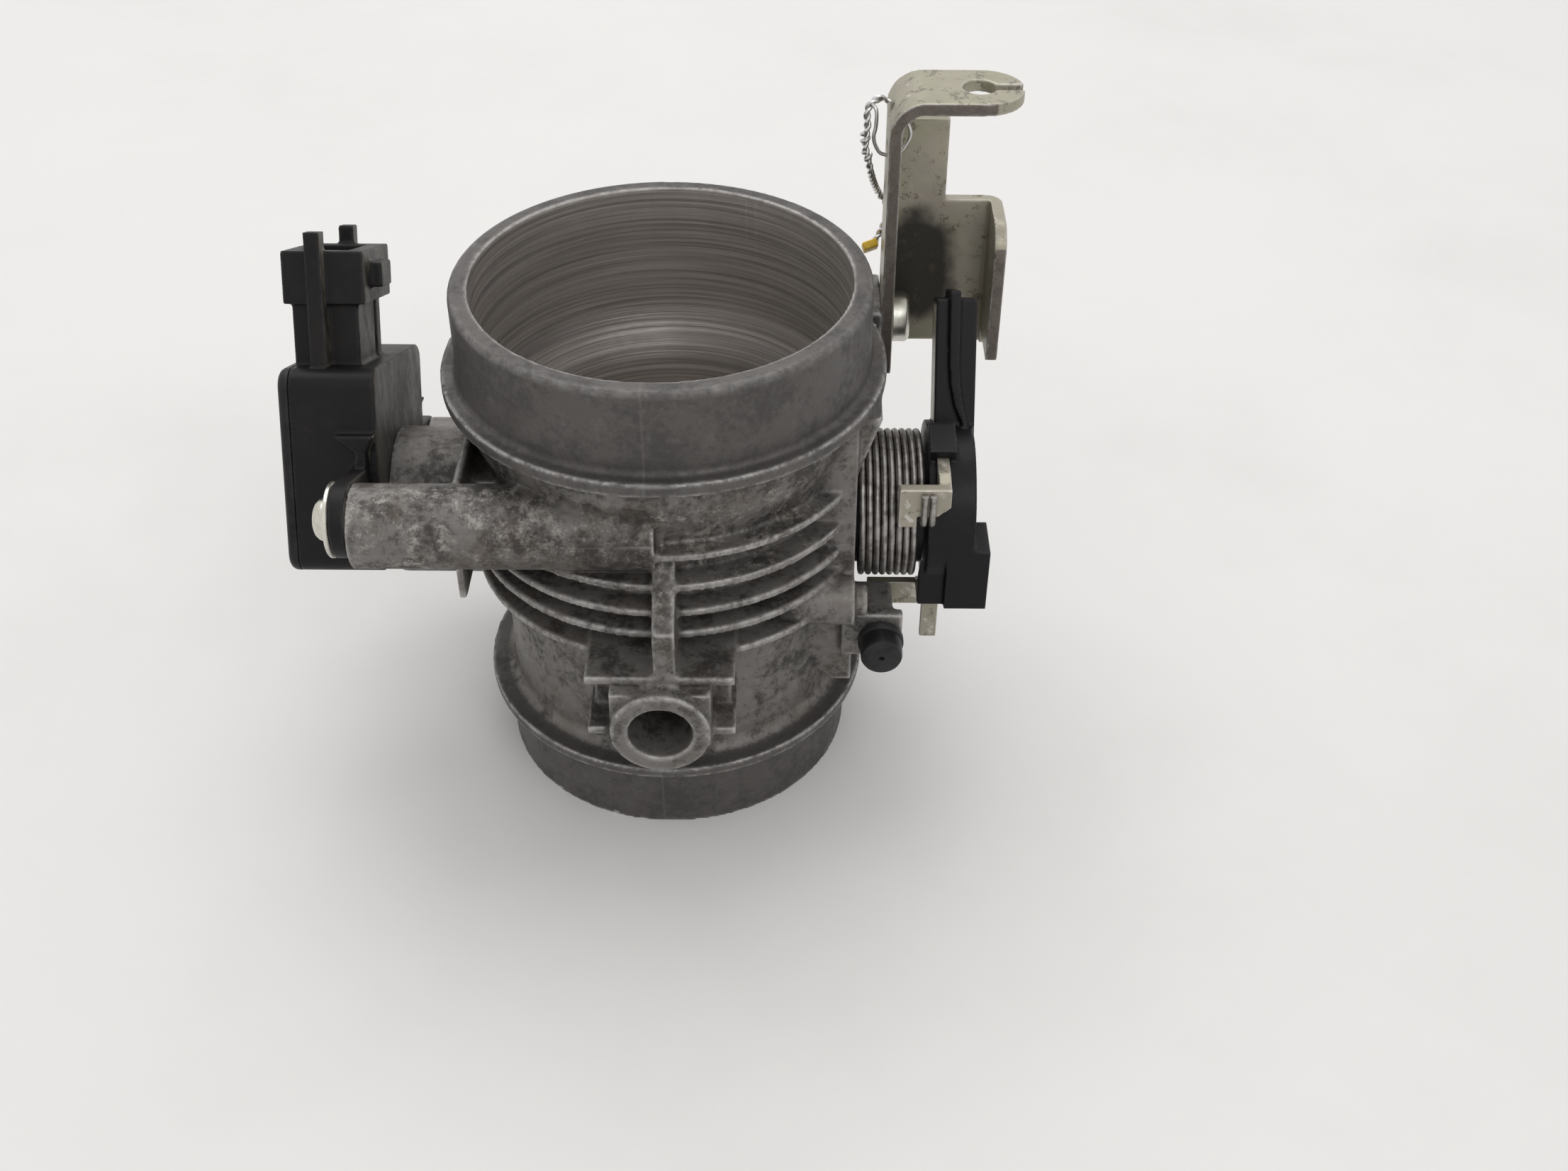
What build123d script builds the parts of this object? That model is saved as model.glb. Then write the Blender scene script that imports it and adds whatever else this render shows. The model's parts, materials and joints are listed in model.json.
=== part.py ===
from build123d import *
import os
from math import cos, hypot, radians, sin

# Cable-operated throttle body. Millimetres, +Z up along the bore, +X along the throttle shaft towards the
# cable lever, origin at the centre of the outlet spigot's end face.

# ---- Bore and casting ----
overall_height = 93.4
bore_radius = 26.0
bell_flare = 5.0
inlet_wall = 3.25
barrel_wall = 4.0
outlet_wall = 5.4
shaft_height = 48.75
inlet_lip_height = 14.7
flange_thickness = 2.5
inlet_flange_step = 2.65
outlet_spigot_height = 13.9
outlet_flange_step = 3.05
outlet_flange_thickness = 2.1
foot_fillet = 2.4
groove_height = 2.3
groove_depth = 0.6
lip_round = 1.1
bell_start_drop = 2.5
bell_end_rise = 9.0

# ---- Stiffening ribs round the barrel ----
rib_thickness = 1.3
rib_reach = 4.4
rib_offsets = (13.75, 7.75, 2.55, -1.95, -7.15)
web_width = 3.7
web_offset = 0.9
web_reach = 10.0
web_low_drop = 8.5
web_high_rise = 2.9
web_run_out = 12.5
parting_web_width = 1.4
parting_web_reach = 1.6

# ---- Hose-fitting port on the front ----
port_height = 33.3
port_hole_radius = 5.3
port_wall = 3.0
port_reach = 13.6
port_hole_depth = 12.0
port_bleed_radius = 2.2
port_block_rise = 7.2
port_ring_stand = 1.6
clip_ear_half = 12.2
clip_ear_thickness = 1.5
clip_ear_reach = 10.6
clip_ear_offsets = (8.2, -2.8)
clip_wall_half = 11.4
clip_wall_reach = 4.4

# ---- Lever-side pad, lugs and bosses of the casting ----
pad_stand = 2.0
pad_half_width = 17.0
pad_low_drop = 27.0
pad_corner = 5.0
lever_boss_radius = 8.6
lever_boss_length = 10.4
plug_boss_radius = 4.2
plug_boss_forward = 20.0
plug_boss_drop = 6.1
plug_pin_radius = 2.6
plug_pin_length = 2.2
bracket_lug_top = 74.7
bracket_lug_height = 14.0
bracket_lug_front = 20.5
bracket_lug_stand = 5.0

# ---- Throttle shaft, bearings and seals ----
shaft_radius = 4.0
running_clearance = 0.04
body_clearance = 0.25
bearing_wall = 2.0
bearing_length = 9.0
bearing_setback = 2.4
seal_length = 3.4
seal_gap = 0.8
rotor_journal_radius = 3.0
lever_journal_radius = 3.6
lever_journal_flat = 2.75
thread_radius = 3.0
plate_thickness = 2.0
plate_screw_offset = 9.0
plate_screw_radius = 1.5
plate_screw_head_radius = 2.6
plate_screw_head_height = 1.5

# ---- Throttle position sensor (built upright, then leant back about the shaft) ----
sensor_lean = 24.5
sensor_boss_radius = 12.8
sensor_boss_length = 17.1
sensor_depth = 16.0
sensor_front = 19.0
sensor_back = 19.0
sensor_drop = 9.0
sensor_rise = 25.2
sensor_wall = 2.3
sensor_corner = 3.2
sensor_cover_thickness = 1.8
spigot_radius = 9.5
spigot_length = 3.2
spigot_hole_radius = 7.2
o_ring_section = 1.7
ear_offset = 32.0
ear_rise = 3.3
ear_radius = 6.1
ear_thickness = 2.7
ear_seat_step = 1.3
ear_hole_radius = 2.3
sensor_screw_radius = 2.0
sensor_screw_length = 16.0
sensor_screw_head_radius = 3.5
sensor_screw_head_height = 2.6
washer_thickness = 0.8
screw_tube_radius = 6.83
screw_tube_drop = 1.2
screw_tube_end = -0.3
rib_cut_rise = 9.6
rotor_radius = 6.5
rotor_length = 9.4
board_thickness = 1.4
board_margin = 1.5
terminal_width = 1.6
terminal_thickness = 0.8
terminal_pitch = 4.0
terminal_count = 3
connector_front = 13.0
connector_back = 3.0
connector_neck_height = 10.2
connector_flare = 1.6
connector_shell_height = 8.6
connector_wall = 1.5
connector_side_inset = 1.8
connector_inner_inset = 3.3
key_width = 2.6
key_rise = 3.1
latch_stand = 2.1
latch_width = 7.0
latch_height = 4.1
latch_rise = 2.5
latch_inset = 2.4

# ---- Return springs ----
spring_outer_radius = 13.0
spring_wire = 1.2
spring_turns = 4
spring_gap = 0.06
spring_start_gap = 0.5
sleeve_wall = 2.0

# ---- Cable lever and quadrant ----
quadrant_stand = 12.5
quadrant_width = 8.0
quadrant_radius = 14.5
quadrant_groove_radius = 11.0
quadrant_groove_width = 3.2
quadrant_groove_setback = 1.7
lever_plate_setback = 1.3
lever_plate_thickness = 2.1
lever_plate_radius = 11.5
arm_lean = 28.0
arm_length = 35.6
arm_width = 8.0
arm_thickness = 7.0
arm_inset = 1.0
arm_ridge = ((37.0, 3.5, 5.4), (24.1, 3.7, 5.4), (20.8, 4.0, 5.7), (17.5, 4.7, 6.2), (14.5, 6.0, 6.9), (9.0, 6.2, 6.9))
raised_block_angle = 101.0
raised_block_width = 7.0
raised_block_reach = 1.8
raised_block_end = 4.6
tab_front = 14.8
tab_thickness = 2.0
tab_low = 5.55
tab_high = 13.15
tab_notch = 7.8
tab_corner = 9.6
tab_reach = 6.6
tab_finger = 3.1
wing_back = 10.5
wing_top = 13.7
stop_foot_front = -6.0
stop_foot_thickness = 1.6
stop_foot_drop = 18.4
stop_leg_drop = 26.3
stop_leg_width = 3.0
nut_across_flats = 10.0
nut_height = 3.0
nut_pocket_radius = 6.6
nut_seat_skin = 0.2
lock_washer_thickness = 0.9
lock_washer_radius = 5.4
cable_block_depth = 9.0
cable_block_height = 12.4
cable_block_drop = 12.5
cable_block_step = 1.2
cable_block_stand = 2.8
cable_nipple_radius = 3.1

# ---- Idle stop screw ----
idle_screw_radius = 2.0
idle_screw_offset = 4.9
idle_screw_drop = 15.45
idle_lug_front = -19.0
idle_lug_back = -9.4
idle_lug_stand = 8.6
idle_lug_half = 3.9
idle_lug_extra = 1.2
idle_cap_radius = 3.7
idle_cap_length = 5.2
idle_cap_wall = 1.0

# ---- Cable bracket ----
sheet = 2.1
bracket_gap = 5.0
bracket_front = 21.0
bracket_back = 35.0
bracket_bottom = 62.0
bracket_top = 113.6
bracket_inner_width = 16.9
bracket_notch_height = 90.5
bracket_right_rise = 2.8
bracket_upper_width = 8.9
bracket_flange_reach = 22.5
bracket_bend = 3.0
bracket_top_bend = 6.0
cable_hole_radius = 2.85
cable_hole_inset = 0.5
cable_slot_width = 2.2
bracket_screw_radius = 2.5
bracket_screw_y = 27.0
bracket_screw_drop = 4.3
bracket_screw_head_radius = 4.5
bracket_screw_head_height = 3.1
bracket_screw_length = 14.0

# ---- Seal wire and tag ----
seal_hole_radius = 1.2
seal_loop_radius = 3.2
seal_wire_radius = 0.45
seal_loop_y = 28.0
seal_loop_z = 106.2
seal_tail_radius = 0.8
seal_tail_reach = 2.8
seal_tail_y = 30.4
seal_tail_z = 82.7
tag_width = 5.0
tag_height = 6.5
tag_thickness = 1.2

# ---- Sizes worked out from the ones above ----
inlet_bore_radius = bore_radius + bell_flare
inlet_radius = inlet_bore_radius + inlet_wall
inlet_flange_radius = inlet_radius + inlet_flange_step
inlet_flange_top = overall_height - inlet_lip_height
inlet_flange_bottom = inlet_flange_top - flange_thickness
outlet_radius = bore_radius + outlet_wall
outlet_flange_radius = outlet_radius + outlet_flange_step
outlet_flange_top = outlet_spigot_height + outlet_flange_thickness
barrel_radius = bore_radius + barrel_wall
rib_radius = barrel_radius + rib_reach
pad_x = barrel_radius + pad_stand
bearing_radius = shaft_radius + bearing_wall
sensor_face_x = -(barrel_radius + sensor_boss_length)
sensor_outer_x = sensor_face_x - sensor_depth
ear_seat_x = sensor_face_x - ear_seat_step
ear_outer_x = ear_seat_x - ear_thickness
washer_outer_x = ear_outer_x - washer_thickness
quadrant_x = pad_x + quadrant_stand
quadrant_end_x = quadrant_x + quadrant_width
lever_plate_x = quadrant_x + lever_plate_setback
lever_plate_end_x = lever_plate_x + lever_plate_thickness
nut_seat_x = lever_plate_end_x + nut_seat_skin
lever_boss_x = pad_x + lever_boss_length
tab_end_x = lever_plate_x - tab_reach
idle_screw_x = pad_x + idle_screw_offset
idle_screw_z = shaft_height - idle_screw_drop
bracket_x = pad_x + bracket_gap
bracket_inner_x = bracket_x + sheet
bracket_right_x = bracket_inner_x + bracket_inner_width
bracket_end_x = bracket_x + bracket_flange_reach
bracket_screw_z = bracket_lug_top - bracket_screw_drop
lean_cos = cos(radians(sensor_lean))
lean_sin = sin(radians(sensor_lean))
overshoot = 1.0


def block(x0, x1, y0, y1, z0, z1):
    return Pos((x0 + x1) / 2, (y0 + y1) / 2, (z0 + z1) / 2) * Box(x1 - x0, y1 - y0, z1 - z0)


def rod_x(radius, x0, x1, y=0.0, z=shaft_height):
    return Pos((x0 + x1) / 2, y, z) * Rot(0, 90, 0) * Cylinder(radius, x1 - x0)


def rod_y(radius, y0, y1, x, z):
    return Pos(x, (y0 + y1) / 2, z) * Rot(90, 0, 0) * Cylinder(radius, y1 - y0)


def rod_z(radius, z0, z1, x=0.0, y=0.0):
    return Pos(x, y, (z0 + z1) / 2) * Cylinder(radius, z1 - z0)


def slab_yz(points, x0, x1):
    outline = Plane.YZ.offset(x0) * make_face(Polyline(*points, close=True))
    return extrude(outline, amount=x1 - x0)


def slab_xz(points, y0, y1):
    outline = Plane.XZ.offset(-y1) * make_face(Polyline(*points, close=True))
    return extrude(outline, amount=y1 - y0)


def turned(lines):
    return revolve(Plane.XZ * make_face(lines), Axis.Z)


def polar_yz(radius, angle):
    return radius * cos(radians(angle)), shaft_height + radius * sin(radians(angle))


def lean(shape):
    """Lean a sensor shape, built about the shaft axis at height zero, back into its place."""
    return Pos(0, 0, shaft_height) * Rot(-sensor_lean, 0, 0) * shape


def leant_point(y, z):
    return y * lean_cos + z * lean_sin, shaft_height - y * lean_sin + z * lean_cos


def double_d(radius, flat, x0, x1):
    return rod_x(radius, x0, x1) & block(x0, x1, -radius, radius, shaft_height - flat, shaft_height + flat)


# ---- Throttle housing ----
def barrel_outline():
    groove_z = outlet_spigot_height - groove_height
    flare_z = shaft_height + bell_end_rise
    lip_z = overall_height - lip_round
    lip_mid = lip_round * (1 - cos(radians(45)))
    lower = Polyline(
        (0, 0), (outlet_radius, 0), (outlet_radius, groove_z),
        (outlet_radius - groove_depth, groove_z + groove_depth),
        (outlet_radius - groove_depth, outlet_spigot_height), (outlet_flange_radius, outlet_spigot_height),
        (outlet_flange_radius, outlet_flange_top), (barrel_radius + foot_fillet, outlet_flange_top),
    )
    fillet_mid = foot_fillet * (1 - cos(radians(45)))
    foot = ThreePointArc(
        (barrel_radius + foot_fillet, outlet_flange_top), (barrel_radius + fillet_mid, outlet_flange_top + fillet_mid),
        (barrel_radius, outlet_flange_top + foot_fillet),
    )
    wall = Line((barrel_radius, outlet_flange_top + foot_fillet), (barrel_radius, flare_z))
    middle_z = (flare_z + inlet_flange_bottom) / 2
    flare = Bezier(
        (barrel_radius, flare_z), (barrel_radius, middle_z), (inlet_radius, middle_z),
        (inlet_radius, inlet_flange_bottom),
    )
    upper = Polyline(
        (inlet_radius, inlet_flange_bottom), (inlet_flange_radius, inlet_flange_bottom),
        (inlet_flange_radius, inlet_flange_top), (inlet_radius, inlet_flange_top), (inlet_radius, lip_z),
    )
    lip = ThreePointArc(
        (inlet_radius, lip_z), (inlet_radius - lip_mid, overall_height - lip_mid),
        (inlet_radius - lip_round, overall_height),
    )
    closing = Polyline((inlet_radius - lip_round, overall_height), (0, overall_height), (0, 0))
    return lower + foot + wall + flare + upper + lip + closing


def bore_space():
    bell_top = inlet_flange_bottom - bell_start_drop
    bell_bottom = shaft_height + bell_end_rise
    middle = (bell_top + bell_bottom) / 2
    lower = Polyline((0, -overshoot), (bore_radius, -overshoot), (bore_radius, bell_bottom))
    bell = Bezier(
        (bore_radius, bell_bottom), (bore_radius, middle), (inlet_bore_radius, middle),
        (inlet_bore_radius, bell_top),
    )
    upper = Polyline(
        (inlet_bore_radius, bell_top), (inlet_bore_radius, overall_height + overshoot),
        (0, overall_height + overshoot), (0, -overshoot),
    )
    return turned(lower + bell + upper)


def barrel_ribs():
    ribs = [rod_z(rib_radius, shaft_height + rise - rib_thickness / 2, shaft_height + rise + rib_thickness / 2)
            for rise in rib_offsets]
    reach = rib_radius + overshoot
    tube_space = block(-reach, screw_tube_end, -reach, -barrel_radius / 2, shaft_height + rib_cut_rise, overall_height)
    return Part() + ribs & block(-reach, pad_x, -reach, reach, 0, overall_height) - tube_space


def front_web():
    face_y = -(barrel_radius + web_reach)
    low_z = shaft_height - web_low_drop
    high_z = shaft_height + web_high_rise
    points = [(face_y, low_z), (face_y, high_z), (-barrel_radius, shaft_height + web_run_out),
              (-bore_radius, shaft_height + web_run_out), (-bore_radius, low_z)]
    web = slab_yz(points, web_offset - web_width / 2, web_offset + web_width / 2)
    parting = block(web_offset - parting_web_width, web_offset, -(barrel_radius + parting_web_reach), -bore_radius,
                    shaft_height, inlet_flange_bottom)
    return web + parting


def port_boss():
    face_y = -(barrel_radius + port_reach)
    half = port_hole_radius + port_wall
    ring = rod_y(half, face_y, -bore_radius, 0, port_height)
    body = block(-half, half, face_y + port_ring_stand, -bore_radius, port_height - half / 2,
                 port_height + port_block_rise)
    wall = block(-clip_wall_half, clip_wall_half, -(barrel_radius + clip_wall_reach), -bore_radius,
                 port_height + clip_ear_offsets[1], port_height + clip_ear_offsets[0])
    ears = [block(-clip_ear_half, clip_ear_half, -(barrel_radius + clip_ear_reach), -bore_radius,
                  port_height + rise, port_height + rise + clip_ear_thickness) for rise in clip_ear_offsets]
    return ring + body + wall + ears


def lever_side():
    pad_low = shaft_height - pad_low_drop
    inside_x = barrel_radius * cos(radians(50))
    corner_x = barrel_radius * cos(radians(38))
    pad = slab_xz(
        [(inside_x, inlet_flange_bottom), (pad_x, inlet_flange_bottom), (pad_x, pad_low),
         (corner_x + pad_corner, pad_low), (corner_x, pad_low + pad_corner), (inside_x, pad_low + pad_corner)],
        -pad_half_width, pad_half_width,
    )
    gusset_low = shaft_height + spring_outer_radius + overshoot
    gusset = slab_xz(
        [(barrel_radius, gusset_low), (pad_x, gusset_low + pad_stand),
         (inlet_flange_radius - overshoot, inlet_flange_bottom), (barrel_radius, inlet_flange_bottom)],
        -pad_half_width + pad_stand, pad_half_width - pad_stand,
    )
    boss = rod_x(lever_boss_radius, bore_radius, lever_boss_x)
    plug_z = shaft_height - plug_boss_drop
    plug = rod_x(plug_boss_radius, inside_x, pad_x, -plug_boss_forward, plug_z)
    pin = rod_x(plug_pin_radius, pad_x - overshoot, pad_x + plug_pin_length, -plug_boss_forward, plug_z)
    idle_lug = block(barrel_radius, pad_x + idle_lug_stand, idle_lug_front, idle_lug_back,
                     idle_screw_z - idle_lug_half, idle_screw_z + idle_lug_half + idle_lug_extra)
    idle_lug -= rod_x(hypot(tab_front, tab_high) + body_clearance, tab_end_x - body_clearance,
                      pad_x + idle_lug_stand + overshoot)
    lug = block(barrel_radius / 3, pad_x + bracket_lug_stand, bracket_lug_front, bracket_back,
                bracket_lug_top - bracket_lug_height, bracket_lug_top)
    return pad + gusset + boss + plug + pin + idle_lug + lug


def sensor_side():
    boss = rod_x(sensor_boss_radius, sensor_face_x, -bore_radius)
    front_y, front_z = leant_point(-ear_offset, ear_rise)
    rear_y, rear_z = leant_point(ear_offset, ear_rise)
    front_tube = rod_x(screw_tube_radius, ear_seat_x, screw_tube_end, front_y, front_z - screw_tube_drop)
    rear_tube = rod_x(screw_tube_radius, ear_seat_x, -barrel_radius / 2, rear_y, rear_z - screw_tube_drop)
    fin = block(-(barrel_radius + pad_stand + rib_thickness), -(barrel_radius + pad_stand),
                front_y, 0, shaft_height, front_z + screw_tube_radius / 2)
    return boss + front_tube + rear_tube + fin


def shaft_bores():
    bearing_x = bore_radius + bearing_setback
    hole = rod_x(shaft_radius + body_clearance, sensor_face_x - overshoot, lever_boss_x + overshoot)
    lever_pocket = rod_x(bearing_radius, bearing_x, lever_boss_x + overshoot)
    sensor_pocket = rod_x(bearing_radius, sensor_face_x - overshoot, -bearing_x)
    spigot_bore = rod_x(spigot_radius, sensor_face_x - overshoot, sensor_face_x + spigot_length + body_clearance)
    ring_seat = rod_x(spigot_radius + o_ring_section, sensor_face_x - overshoot, sensor_face_x + o_ring_section)
    return hole + lever_pocket + sensor_pocket + spigot_bore + ring_seat


def housing_holes():
    face_y = -(barrel_radius + port_reach)
    port = rod_y(port_hole_radius, face_y - overshoot, face_y + port_hole_depth, 0, port_height)
    bleed = rod_y(port_bleed_radius, face_y, -bore_radius + overshoot, 0, port_height)
    cuts = [port, bleed]
    for side in (-1, 1):
        y, z = leant_point(side * ear_offset, ear_rise)
        cuts.append(rod_x(sensor_screw_radius, ear_seat_x - overshoot, ear_outer_x + sensor_screw_length, y, z))
    cuts.append(rod_x(bracket_screw_radius, bracket_inner_x - bracket_screw_length, bracket_x + overshoot,
                      bracket_screw_y, bracket_screw_z))
    cuts.append(rod_y(idle_screw_radius + running_clearance, idle_lug_front - overshoot, idle_lug_back + overshoot,
                      idle_screw_x, idle_screw_z))
    return cuts


def throttle_housing():
    body = turned(barrel_outline()) + barrel_ribs() + front_web() + port_boss() + lever_side() + sensor_side()
    return body - bore_space() - shaft_bores() - housing_holes()


# ---- Bearings and shaft seals ----
def sleeve_x(outer, inner, x0, x1):
    return rod_x(outer, x0, x1) - rod_x(inner, x0 - overshoot, x1 + overshoot)


def bearing(side):
    near = bore_radius + bearing_setback
    ends = sorted((side * near, side * (near + bearing_length)))
    return sleeve_x(bearing_radius, shaft_radius + running_clearance, *ends)


def shaft_seal(side):
    near = bore_radius + bearing_setback + bearing_length + seal_gap
    ends = sorted((side * near, side * (near + seal_length)))
    return sleeve_x(bearing_radius, shaft_radius + running_clearance, *ends)


# ---- Shaft, throttle plate and what turns with them ----
def throttle_shaft():
    body = rod_x(shaft_radius, sensor_face_x, quadrant_x)
    body += double_d(rotor_journal_radius, rotor_journal_radius - overshoot / 2, rotor_end_x(), sensor_face_x)
    body += double_d(lever_journal_radius, lever_journal_flat, quadrant_x, nut_seat_x)
    body += rod_x(thread_radius, nut_seat_x, nut_seat_x + lock_washer_thickness + nut_height)
    slot = block(-bore_radius, bore_radius, -shaft_radius - overshoot, shaft_radius + overshoot,
                 shaft_height - plate_thickness / 2, shaft_height + plate_thickness / 2)
    return body - slot - plate_screw_spaces()


def rotor_end_x():
    return sensor_face_x - overshoot / 2 - rotor_length


def plate_screw_spaces():
    cuts = []
    for x in (-plate_screw_offset, plate_screw_offset):
        cuts.append(rod_z(plate_screw_radius, shaft_height - shaft_radius, shaft_height + shaft_radius, x))
        cuts.append(rod_z(plate_screw_head_radius + body_clearance, head_seat_z(), shaft_height + shaft_radius, x))
    return Part() + cuts


def head_seat_z():
    return shaft_height + shaft_radius - plate_screw_head_height - body_clearance


def throttle_plate():
    disc = rod_z(bore_radius - body_clearance, shaft_height - plate_thickness / 2, shaft_height + plate_thickness / 2)
    holes = [rod_z(plate_screw_radius, shaft_height - plate_thickness, shaft_height + plate_thickness, x)
             for x in (-plate_screw_offset, plate_screw_offset)]
    return disc - holes


def plate_screws():
    screws = []
    for x in (-plate_screw_offset, plate_screw_offset):
        shank = rod_z(plate_screw_radius, shaft_height - shaft_radius + body_clearance, head_seat_z(), x)
        head = rod_z(plate_screw_head_radius, head_seat_z(), head_seat_z() + plate_screw_head_height, x)
        slot = block(x - plate_screw_head_radius, x + plate_screw_head_radius, -body_clearance, body_clearance,
                     head_seat_z() + plate_screw_head_height / 2, shaft_height + shaft_radius + overshoot)
        screws.append(shank + head - slot)
    return Compound(children=[screw.solid() for screw in screws])


def sensor_rotor():
    body = rod_x(rotor_radius, rotor_end_x(), sensor_face_x - overshoot / 2)
    return body - double_d(rotor_journal_radius, rotor_journal_radius - overshoot / 2,
                           rotor_end_x() - overshoot, sensor_face_x)


def spring_sleeve():
    return sleeve_x(lever_boss_radius + sleeve_wall, lever_boss_radius, pad_x, quadrant_x - 2 * body_clearance)


# ---- Steel lever plate with its arm strip, spring tab and stop foot ----
def arm_outline(width, length):
    half = width / 2
    corners = [(-half, 0), (half, 0), (half, length), (-half, length)]
    angle = radians(arm_lean)
    return [(y * cos(angle) + z * sin(angle), shaft_height - y * sin(angle) + z * cos(angle)) for y, z in corners]


def spring_tab():
    """A wing of the plate, turned in at its front into a long finger and a short one for the spring hooks."""
    low = shaft_height + tab_low
    high = shaft_height + tab_high
    notch = shaft_height + tab_notch
    back_y = tab_thickness - tab_front
    wing = slab_yz(
        [(0, shaft_height), (-wing_back, shaft_height), (-wing_back, notch), (-tab_front, shaft_height + tab_corner),
         (-tab_front, high), (back_y, high), (-wing_back, shaft_height + wing_top), (0, shaft_height + wing_top)],
        lever_plate_x, lever_plate_end_x,
    )
    turned_in = slab_xz(
        [(tab_end_x, low), (tab_end_x + tab_finger, low), (tab_end_x + tab_finger, notch), (lever_plate_x, notch),
         (lever_plate_end_x, shaft_height + tab_corner), (lever_plate_end_x, high), (tab_end_x, high)],
        -tab_front, back_y,
    )
    return wing + turned_in


def stop_foot():
    leg_x = lever_plate_end_x - stop_leg_width
    foot_top = shaft_height - spring_outer_radius - body_clearance * 2
    back_y = stop_foot_front + stop_foot_thickness
    foot = block(idle_screw_x - idle_screw_radius, lever_plate_end_x, stop_foot_front, back_y,
                 shaft_height - stop_foot_drop, foot_top)
    leg = block(leg_x, lever_plate_end_x, stop_foot_front, back_y, shaft_height - stop_leg_drop, foot_top)
    hanger = block(lever_plate_x, lever_plate_end_x, stop_foot_front, -stop_foot_front,
                   shaft_height - stop_foot_drop, shaft_height)
    return foot + leg + hanger


def throttle_lever():
    plate = rod_x(lever_plate_radius, lever_plate_x, lever_plate_end_x)
    plate += slab_yz(arm_outline(arm_width - 2 * arm_inset, arm_length - arm_inset), lever_plate_x, lever_plate_end_x)
    plate += spring_tab() + stop_foot()
    return plate - double_d(lever_journal_radius, lever_journal_flat, lever_plate_x - overshoot,
                            lever_plate_end_x + overshoot)


# ---- Moulded cable quadrant ----
def cable_groove():
    """The track that the cable lies in, from the back of the arm round to the cable block."""
    end_x = quadrant_end_x - quadrant_groove_setback
    ring = sleeve_x(quadrant_radius + overshoot, quadrant_groove_radius, end_x - quadrant_groove_width, end_x)
    reach = quadrant_radius + 2 * overshoot
    back_half = block(quadrant_x, quadrant_end_x, 0, reach, shaft_height - reach, shaft_height + reach / 3)
    return ring & back_half


def cable_block():
    low = shaft_height - cable_block_drop
    return block(lever_plate_end_x, quadrant_end_x + cable_block_stand, -quadrant_radius,
                 cable_block_depth - quadrant_radius, low, low + cable_block_height)


def nipple_hole():
    middle_z = shaft_height - cable_block_drop + cable_block_height / 2
    return rod_x(cable_nipple_radius, quadrant_end_x - quadrant_groove_width, quadrant_end_x + 2 * cable_block_stand,
                 cable_block_depth / 2 - quadrant_radius, middle_z)


def arm_ridge_shape():
    """The rib down the front of the arm, which swings out to the disc's rim at its foot."""
    right = [(quadrant_x + far, along) for along, near, far in arm_ridge]
    left = [(quadrant_x + near, along) for along, near, far in reversed(arm_ridge)]
    half = arm_width / 2 + overshoot
    ridge = slab_xz(right + left, -half, half)
    return Pos(0, 0, shaft_height) * Rot(-arm_lean, 0, 0) * ridge


def throttle_quadrant():
    disc = rod_x(quadrant_radius, quadrant_x, quadrant_end_x)
    arm = slab_yz(arm_outline(arm_width, arm_length), lever_plate_x, lever_plate_x + arm_thickness)
    raised = Pos(0, 0, shaft_height) * Rot(raised_block_angle, 0, 0) * block(
        quadrant_x, quadrant_x + raised_block_end, 0, quadrant_radius + raised_block_reach,
        -raised_block_width / 2, raised_block_width / 2)
    low = shaft_height - cable_block_drop
    cheek = block(quadrant_x - cable_block_step, lever_plate_end_x, cable_block_step - quadrant_radius,
                  cable_block_depth - quadrant_radius, low, low + cable_block_height)
    cheek -= rod_x(spring_outer_radius + 2 * body_clearance, quadrant_x - 2 * cable_block_step, quadrant_x)
    body = disc + arm + arm_ridge_shape() + raised + cheek + cable_block()
    body -= throttle_lever()
    body -= double_d(lever_journal_radius, lever_journal_flat, quadrant_x - overshoot, nut_seat_x)
    body -= rod_x(nut_pocket_radius, nut_seat_x, quadrant_end_x + overshoot)
    return body - cable_groove() - nipple_hole()


def lock_washer():
    return sleeve_x(lock_washer_radius, thread_radius, nut_seat_x, nut_seat_x + lock_washer_thickness)


def shaft_nut():
    start = nut_seat_x + lock_washer_thickness
    hexagon = RegularPolygon(nut_across_flats / 2, 6, major_radius=False)
    body = extrude(Plane.YZ.offset(start) * Pos(0, shaft_height) * hexagon, amount=nut_height)
    return body - rod_x(thread_radius, start - overshoot, start + nut_height + overshoot)


# ---- Return springs: close-wound coils side by side over the sleeve ----
def coil(start_x):
    rings = []
    middle = spring_outer_radius - spring_wire / 2
    for turn in range(spring_turns):
        x = start_x + spring_wire / 2 + turn * (spring_wire + spring_gap)
        rings.append(Pos(x, 0, shaft_height) * Rot(0, 90, 0) * Torus(middle, spring_wire / 2 + spring_gap))
    return Part() + rings


def return_spring():
    return coil(pad_x + spring_start_gap)


def backup_spring():
    return coil(pad_x + spring_start_gap + spring_turns * (spring_wire + spring_gap) + 2 * spring_gap)


# ---- Idle stop screw and its cap ----
def idle_screw():
    return rod_y(idle_screw_radius, idle_lug_front - idle_cap_length + 2 * idle_cap_wall, stop_foot_front,
                 idle_screw_x, idle_screw_z)


def idle_screw_cap():
    front = idle_lug_front - idle_cap_length - body_clearance
    shell = rod_y(idle_cap_radius, front, idle_lug_front - body_clearance, idle_screw_x, idle_screw_z)
    return shell - rod_y(idle_screw_radius, front + idle_cap_wall, idle_lug_front + overshoot,
                         idle_screw_x, idle_screw_z)


# ---- Throttle position sensor ----
def sensor_outline(inset):
    middle_y = (sensor_back - sensor_front) / 2
    middle_z = (sensor_rise - sensor_drop) / 2
    outline = RectangleRounded(sensor_front + sensor_back - 2 * inset, sensor_drop + sensor_rise - 2 * inset,
                               sensor_corner)
    return Pos(middle_y, middle_z) * outline


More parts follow.
